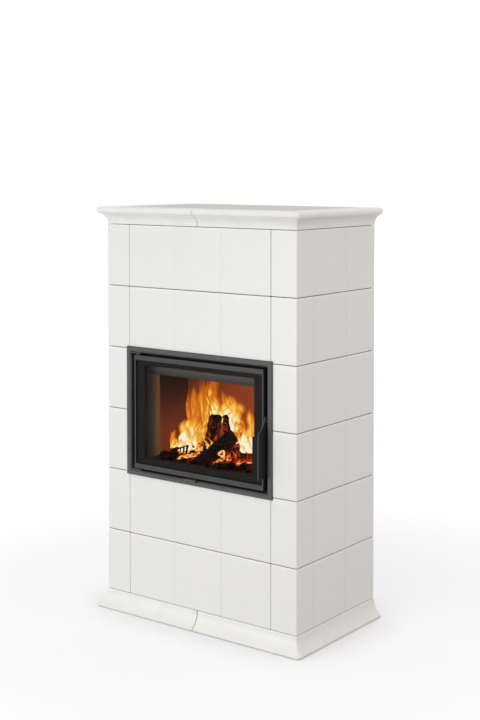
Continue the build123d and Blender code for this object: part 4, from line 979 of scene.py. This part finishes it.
def make_flames(settings):
    """The tongues of the fire, one piece for each group; each tongue brings thinner ones beside it."""
    material = make_material("wood_gas_flame", wood_gas_flame, settings.flame_glow)
    rng = random.Random(7)
    for group, rows in sorted(tongues.items()):
        points, faces, rises, sides, heats = [], [], [], [], []
        for across, depth, height, tip_across, tip_height, width, swing, heat in rows:
            for k in range(round(3 * settings.amount)):
                drift = rng.gauss(0, 0.22) * width * (k > 0)
                back = rng.uniform(-10, 10) * (k > 0)
                grow = 1.18 if k == 0 else rng.uniform(0.6, 1.05)
                root = across + drift, depth + back, height
                top = across + (tip_across - across) * grow + drift * 1.3
                tip = top, depth + back, height + (tip_height - height) * grow
                wide = width * (1.3 if k == 0 else rng.uniform(0.35, 0.8))
                bend = swing + rng.gauss(0, 4)
                lean = rng.uniform(-8, 8)
                warmth = heat * rng.uniform(0.85, 1.1)
                made = flame_ribbon(root, tip, wide, bend, lean, rng.uniform(0, 90))
                faces += shifted(made[1], len(points))
                points += made[0]
                rises += made[2]
                sides += made[3]
                heats += [warmth] * len(made[0])
        marks = {"rise": rises, "side": sides, "burning": heats}
        make_piece(f"flames_{group}", points, faces, material, crease=180, marks=marks)


# ---------------------------------------------------------------- settings
class StoveGlazeSettings(bpy.types.PropertyGroup):
    """Sizes and colour of the glazed tiles."""

    colour: FloatVectorProperty(
        name="Glaze", description="Colour of the glaze",
        default=linear("#EDECE9"), subtype="COLOR", min=0, max=1,
    )
    edge_radius: FloatProperty(
        name="Rim radius", description="Rounding of each tile's rim",
        default=0.0032, unit="LENGTH", min=0.0005,
    )
    corner_radius: FloatProperty(
        name="Corner radius", description="Rounding of the stove's upright corners",
        default=0.0035, unit="LENGTH", min=0.0026,
    )
    groove_depth: FloatProperty(
        name="Groove depth", description="Depth of the shallow upright grooves",
        default=0.0008, unit="LENGTH", min=0,
    )
    wave: FloatProperty(
        name="Unevenness", description="How uneven the fired faces are",
        default=0.00015, unit="LENGTH", min=0,
    )


class StoveSteelSettings(bpy.types.PropertyGroup):
    """Colours of the painted steel, and the width of the print on the glass."""

    surround_dark: FloatVectorProperty(
        name="Surround, dark", description="Darker tone of the surround's paint",
        default=linear("#363637"), subtype="COLOR", min=0, max=1,
    )
    surround_light: FloatVectorProperty(
        name="Surround, light", description="Lighter tone of the surround's paint",
        default=linear("#4B4B4C"), subtype="COLOR", min=0, max=1,
    )
    leaf_dark: FloatVectorProperty(
        name="Door, dark", description="Darker tone of the door's paint",
        default=linear("#212124"), subtype="COLOR", min=0, max=1,
    )
    leaf_light: FloatVectorProperty(
        name="Door, light", description="Lighter tone of the door's paint",
        default=linear("#303034"), subtype="COLOR", min=0, max=1,
    )
    inner_dark: FloatVectorProperty(
        name="Inside, dark", description="Darker tone of the paint behind the glass",
        default=linear("#19191B"), subtype="COLOR", min=0, max=1,
    )
    inner_light: FloatVectorProperty(
        name="Inside, light", description="Lighter tone of the paint behind the glass",
        default=linear("#28282A"), subtype="COLOR", min=0, max=1,
    )
    print_width_side: FloatProperty(
        name="Print at the sides", description="Printed border at the sides of the glass",
        default=0.042, unit="LENGTH",
    )


class StoveFireSettings(bpy.types.PropertyGroup):
    """How strongly the fire burns."""

    flame_glow: FloatProperty(
        name="Flame light", description="Brightness of the flames", default=1.15, min=0
    )
    ember_glow: FloatProperty(
        name="Ember light", description="Brightness of embers and cracks", default=1.2, min=0
    )
    brick_glow: FloatProperty(
        name="Brick glow", description="Warm light painted on the lining", default=1.0, min=0
    )
    amount: FloatProperty(
        name="Flames", description="Share of the full number of tongues", default=1.0, min=0, max=2
    )
    lumps: IntProperty(
        name="Charcoal lumps", description="Lumps of charcoal on the bed", default=110, min=0, max=300
    )


class StoveStageSettings(bpy.types.PropertyGroup):
    """Light and view."""

    key_power: FloatProperty(
        name="Main lamp", description="Power of the lamp in front", default=81, unit="POWER"
    )
    side_power: FloatProperty(
        name="Side lamp", description="Power of the high lamp at the right", default=4, unit="POWER"
    )
    sky: FloatProperty(
        name="Room light", description="Strength of the even light all round", default=0.815, min=0
    )
    lens: FloatProperty(
        name="Lens", description="Focal length of the camera", default=65.42, unit="CAMERA"
    )


# ---------------------------------------------------------------- operators
class STOVE_OT_tiles(bpy.types.Operator):
    """Make the glazed corner and front tiles"""

    bl_idname = "stove.tiles"
    bl_label = "Glazed tiles"

    def execute(self, context):
        make_tiles(context.scene.stove_glaze)
        return {"FINISHED"}


class STOVE_OT_mouldings(bpy.types.Operator):
    """Make the plinth and the cornice, and finish the top slabs"""

    bl_idname = "stove.mouldings"
    bl_label = "Plinth and cornice"

    def execute(self, context):
        stone = make_material("glazed_cast_stone", glazed_cast_stone)
        for word in ("left", "right"):
            swept_moulding(f"moulded_plinth_{word}", f"plinth_{word}", plinth_outline(), 1.1, stone)
            swept_moulding(f"moulded_cornice_{word}", f"cornice_{word}", cornice_outline(), 0.6, stone)
        dress("top_slabs", "painted_cast_concrete", painted_concrete)
        return {"FINISHED"}


class STOVE_OT_door(bpy.types.Operator):
    """Finish the door, its surround and its fittings"""

    bl_idname = "stove.door"
    bl_label = "Door and surround"

    def execute(self, context):
        steel = context.scene.stove_steel
        paints = (
            ("surround_frame air_slider", "grey_black_paint_on_folded_steel", "surround", 0.5),
            ("door_frame hinges", "heat_resistant_paint_on_steel", "leaf", 0.5),
            ("glass_retainer firebox_front handle_pivot", "black_paint_on_folded_sheet", "inner", 0.6),
        )
        for nodes, name, part, roughness in paints:
            dark, light = (getattr(steel, f"{part}_{tone}") for tone in ("dark", "light"))
            dress(nodes, name, stove_paint, dark, light, roughness)
        dress("door_handle", "black_powder_coat_on_plate", black_powder_coat)
        dress("latch_pin", "turned_mild_steel", turned_mild_steel)
        dress("door_gasket glass_gasket", "knitted_glass_fibre_rope", glass_fibre_rope)
        enamel = make_material("fired_black_enamel_print", black_enamel_print)
        print_border(steel.print_width_side * 1000, enamel)
        glass_pane(make_material("rolled_glass_ceramic", glass_ceramic))
        return {"FINISHED"}


class STOVE_OT_firebox(bpy.types.Operator):
    """Finish the firebox, its lining and what stands round it"""

    bl_idname = "stove.firebox"
    bl_label = "Firebox and inner parts"

    def execute(self, context):
        # each glow is its heart, the squeeze along each axis, the span in metres and the colours over it
        amber = [(0, "#7E501F"), (1, "#1D1C1D"), (0.22, "#6A4622"), (0.45, "#42382B"), (0.7, "#262524")]
        red = [(0, "#6E2E1A"), (1, "#18100D"), (0.2, "#622918"), (0.4, "#512317"), (0.6, "#371812")]
        orange = [(0, "#9A4420"), (1, "#241611"), (0.35, "#8A3A1D"), (0.62, "#70341C"), (0.82, "#45241A")]
        dull = [(0, "#5A1C08"), (1, "#0A0706"), (0.5, "#200C06")]
        # the front edge of the lining is lit from behind, through the first flames
        mouth = (0, 112, 640), (0, 1, 0.13), (0, 0.076), amber
        side_glow = (0, 230, 530), (0, 0.45, 1), (0.04, 0.24), [*red, (0.8, "#241410")]
        back_glow = (100, 240, 600), (0.8, 0, 1), (0, 0.4), orange
        floor_glow = (60, 190, 490), (0.7, 1, 1), (0.02, 0.2), dull
        # the first 23 mm of the side bricks have that edge's glow too
        edge = reach("lining_sides")[2] + 23
        for nodes, name, *glows in (
            ("lining_sides", "fireclay_side_bricks", side_glow, mouth, edge),
            ("lining_back", "fireclay_back_brick", back_glow),
            ("lining_fronts", "fireclay_brick_lit_from_behind", mouth),
            ("lining_floor", "ash_covered_fireclay_brick", floor_glow),
        ):
            dress(nodes, name, fireclay_brick, context.scene.stove_fire.brick_glow, *glows)
        dress("baffle", "pressed_vermiculite_board", vermiculite_board)
        dress("air_wash_deflector", "heat_tinted_stainless_sheet", heat_tinted_stainless)
        dress("grate", "sand_cast_iron", sand_cast_iron)
        dress("storage_blocks", "sawn_magnesite_brick", sawn_magnesite)
        painted = "firebox_casing smoke_hood flue_pipes flue_bend flue_collar air_box "
        painted += "insert_stand base_frame"
        dress(painted, "black_primer_on_steel", stove_paint, "#141415", "#222224", 0.6)
        zinc_coated = "back_panel air_duct air_spigot ash_pan tile_straps levelling_feet panel_screws"
        dress(zinc_coated, "hot_dip_zinc_on_sheet_steel", hot_dip_zinc)
        return {"FINISHED"}


class STOVE_OT_firewood(bpy.types.Operator):
    """Lay the logs, the ember bed and the charcoal"""

    bl_idname = "stove.firewood"
    bl_label = "Firewood and embers"

    def execute(self, context):
        settings = context.scene.stove_fire
        wood = make_material("charred_split_beech", charred_beech, settings.ember_glow)
        # piece: start, end, half widths, seed, heat and what else its stick takes, then the nodes it
        # stands for
        for name, stick, *nodes in (
            ("log_left", ((-214, 140, 502), (-128, 186, 524), (15, 19), 1.3, 1.35)),
            ("log_right", ((44, 106, 517), (122, 240, 525), (27, 27), 4.1, 0.9), "firewood_base"),
            ("log_cross", ((-60, 80, 484), (38, 158, 588), (28, 25), 7.7, 0.12), "firewood_cross"),
            ("chunk_left", ((-94, 188, 499), (-32, 142, 645), (27, 23), 2.2, 0.5), "firewood_upright"),
            ("chunk_right", ((0, 184, 505), (12, 142, 656), (18, 10), 9.4, 0.55, 40)),
            ("branch_end", ((36, 90, 531), (-2, 156, 541), (14, 15), 3.4, 0.3, 40, 60, 0.08, 2.2)),
        ):
            burnt_wood("charred_" + name, [burnt_stick(*stick)], wood, nodes)
        bars = [
            burnt_stick((-216, 118, 505), (-186, 124, 517), (6, 5), 5.1, 0.0, 16, 30),
            burnt_stick((-190, 124, 514), (-148, 132, 531), (3, 2.4), 8.2, 0.0, 16, 30),
        ]
        # what is left of a branch's grain hangs from it in short bars: across, top, length, half width
        grain = (-209, 508, 12, 5.5), (-194, 514, 22, 4.5), (-178, 517, 15, 3.2), (-163, 524, 24, 3.6)
        for k, (across, high, drop, wide) in enumerate((*grain, (-147, 531, 30, 4.4))):
            top, foot = (across, 120 + 2 * k, high), (across + 6 - 2.5 * k, 117 + 2 * k, high - drop)
            bars.append(burnt_stick(top, foot, (wide, wide * 0.75), 6.3 + k, 0.0, 16, 24))
        burnt_wood("charred_grain_bars", bars, wood)
        branch = burnt_stick((-190, 88, 482), (-78, 110, 512), (4, 8), 5.1, 2.1, 24)
        burnt_wood("glowing_branch", [branch], wood)
        coals = make_material("glowing_charcoal_bed", glowing_charcoal, settings.ember_glow)
        ember_field(coals)
        charcoal_lumps(coals, settings.lumps)
        return {"FINISHED"}


class STOVE_OT_flames(bpy.types.Operator):
    """Make the flames"""

    bl_idname = "stove.flames"
    bl_label = "Flames"

    def execute(self, context):
        make_flames(context.scene.stove_fire)
        return {"FINISHED"}


class STOVE_OT_stage(bpy.types.Operator):
    """Set up the white floor, the light and the camera"""

    bl_idname = "stove.stage"
    bl_label = "Stage"

    def execute(self, context):
        settings = context.scene.stove_stage
        make_floor()
        make_world(settings.sky)
        # the main lamp stands low in front and is a little cooler than the room; the side lamp is high at
        # the right
        make_lamp("main_lamp", (-1.2, -5.0, 0.8), (0.2, 0, 0.55), (3.0, 1.5), settings.key_power, "#F2F8FF")
        make_lamp("side_lamp", (2.0, -0.2, 2.6), (0.4, 0, 1.2), (0.8, 0.8), settings.side_power, "#FFFDFA")
        make_camera(settings.lens)
        context.scene.view_settings.view_transform = "Standard"
        return {"FINISHED"}


def make_floor():
    """A wide sheet of white paper under the stove."""
    mesh = bpy.data.meshes.new("floor")
    mesh.from_pydata([(-30, -30, 0), (30, -30, 0), (30, 30, 0), (-30, 30, 0)], [], [(0, 1, 2, 3)])
    mesh.materials.append(make_material("matt_white_paper", matt_white_paper))
    floor = put_in_scene("floor", mesh)
    # a hair below the feet, so that the two faces don't fight
    floor.location.z = cad_bounds[0][2] - 0.0012


def make_world(strength):
    """Even, faintly warm light all round, pure white to the camera."""
    world = bpy.data.worlds.new("white_room")
    world.use_nodes = True
    world.node_tree.nodes.clear()
    add = partial(add_node, world.node_tree)
    camera, through = (add("LightPath", out=f"Is {kind} Ray") for kind in ("Camera", "Transmission"))
    rays = add("Math", camera, through, operation="ADD", use_clamp=True)
    even = add("Background", Color="#FFFDFA", Strength=strength)
    white = add("Background", Color="#FFFFFF", Strength=1)
    add("OutputWorld", Surface=add("MixShader", rays, even, white))
    bpy.context.scene.world = world


def make_lamp(name, place, target, size, power, colour):
    """A soft lamp, a given width and height, that faces a place."""
    lamp = bpy.data.lights.new(name, "AREA")
    lamp.shape = "RECTANGLE"
    lamp.size, lamp.size_y = size
    lamp.energy = power
    lamp.color = linear(colour)
    holder = put_in_scene(name, lamp)
    holder.location = place
    holder.rotation_euler = (Vector(target) - Vector(place)).to_track_quat("-Z", "Y").to_euler()
    holder.visible_camera = False


def make_camera(lens):
    """The camera where the photograph was taken: right of the front, at eye height, tipped down a
    little."""
    camera = bpy.data.cameras.new("camera")
    camera.lens = lens
    camera.sensor_width = 36
    camera.shift_x = -0.0095
    camera.shift_y = -0.2057
    holder = put_in_scene("camera", camera)
    holder.location = (2.7978, -3.6823, 1.5877)
    holder.rotation_euler = (math.radians(88), 0, math.radians(36.857))
    bpy.context.scene.camera = holder


# ---------------------------------------------------------------- panel and start
class STOVE_PT_sidebar(bpy.types.Panel):
    """Lists the stove's pieces and settings"""

    bl_idname = "STOVE_PT_sidebar"
    bl_label = "Tiled Stove"
    bl_space_type = "VIEW_3D"
    bl_region_type = "UI"
    bl_category = "Stove"

    def draw(self, context):
        for operator in operators:
            self.layout.operator(operator.bl_idname)
        for holder, group in settings_groups.items():
            for name in group.__annotations__:
                self.layout.prop(getattr(context.scene, holder), name)


operators = (
    STOVE_OT_tiles,
    STOVE_OT_mouldings,
    STOVE_OT_door,
    STOVE_OT_firebox,
    STOVE_OT_firewood,
    STOVE_OT_flames,
    STOVE_OT_stage,
)
settings_groups = {
    "stove_glaze": StoveGlazeSettings,
    "stove_steel": StoveSteelSettings,
    "stove_fire": StoveFireSettings,
    "stove_stage": StoveStageSettings,
}
classes = (*settings_groups.values(), *operators, STOVE_PT_sidebar)


def register():
    for item in classes:
        bpy.utils.register_class(item)
    for name, group in settings_groups.items():
        setattr(bpy.types.Scene, name, PointerProperty(type=group))


def unregister():
    for name in settings_groups:
        delattr(bpy.types.Scene, name)
    for item in reversed(classes):
        bpy.utils.unregister_class(item)


def main():
    register()
    for step in ("tiles", "mouldings", "door", "firebox", "firewood", "flames", "stage"):
        getattr(bpy.ops.stove, step)()


if __name__ == "__main__":
    main()
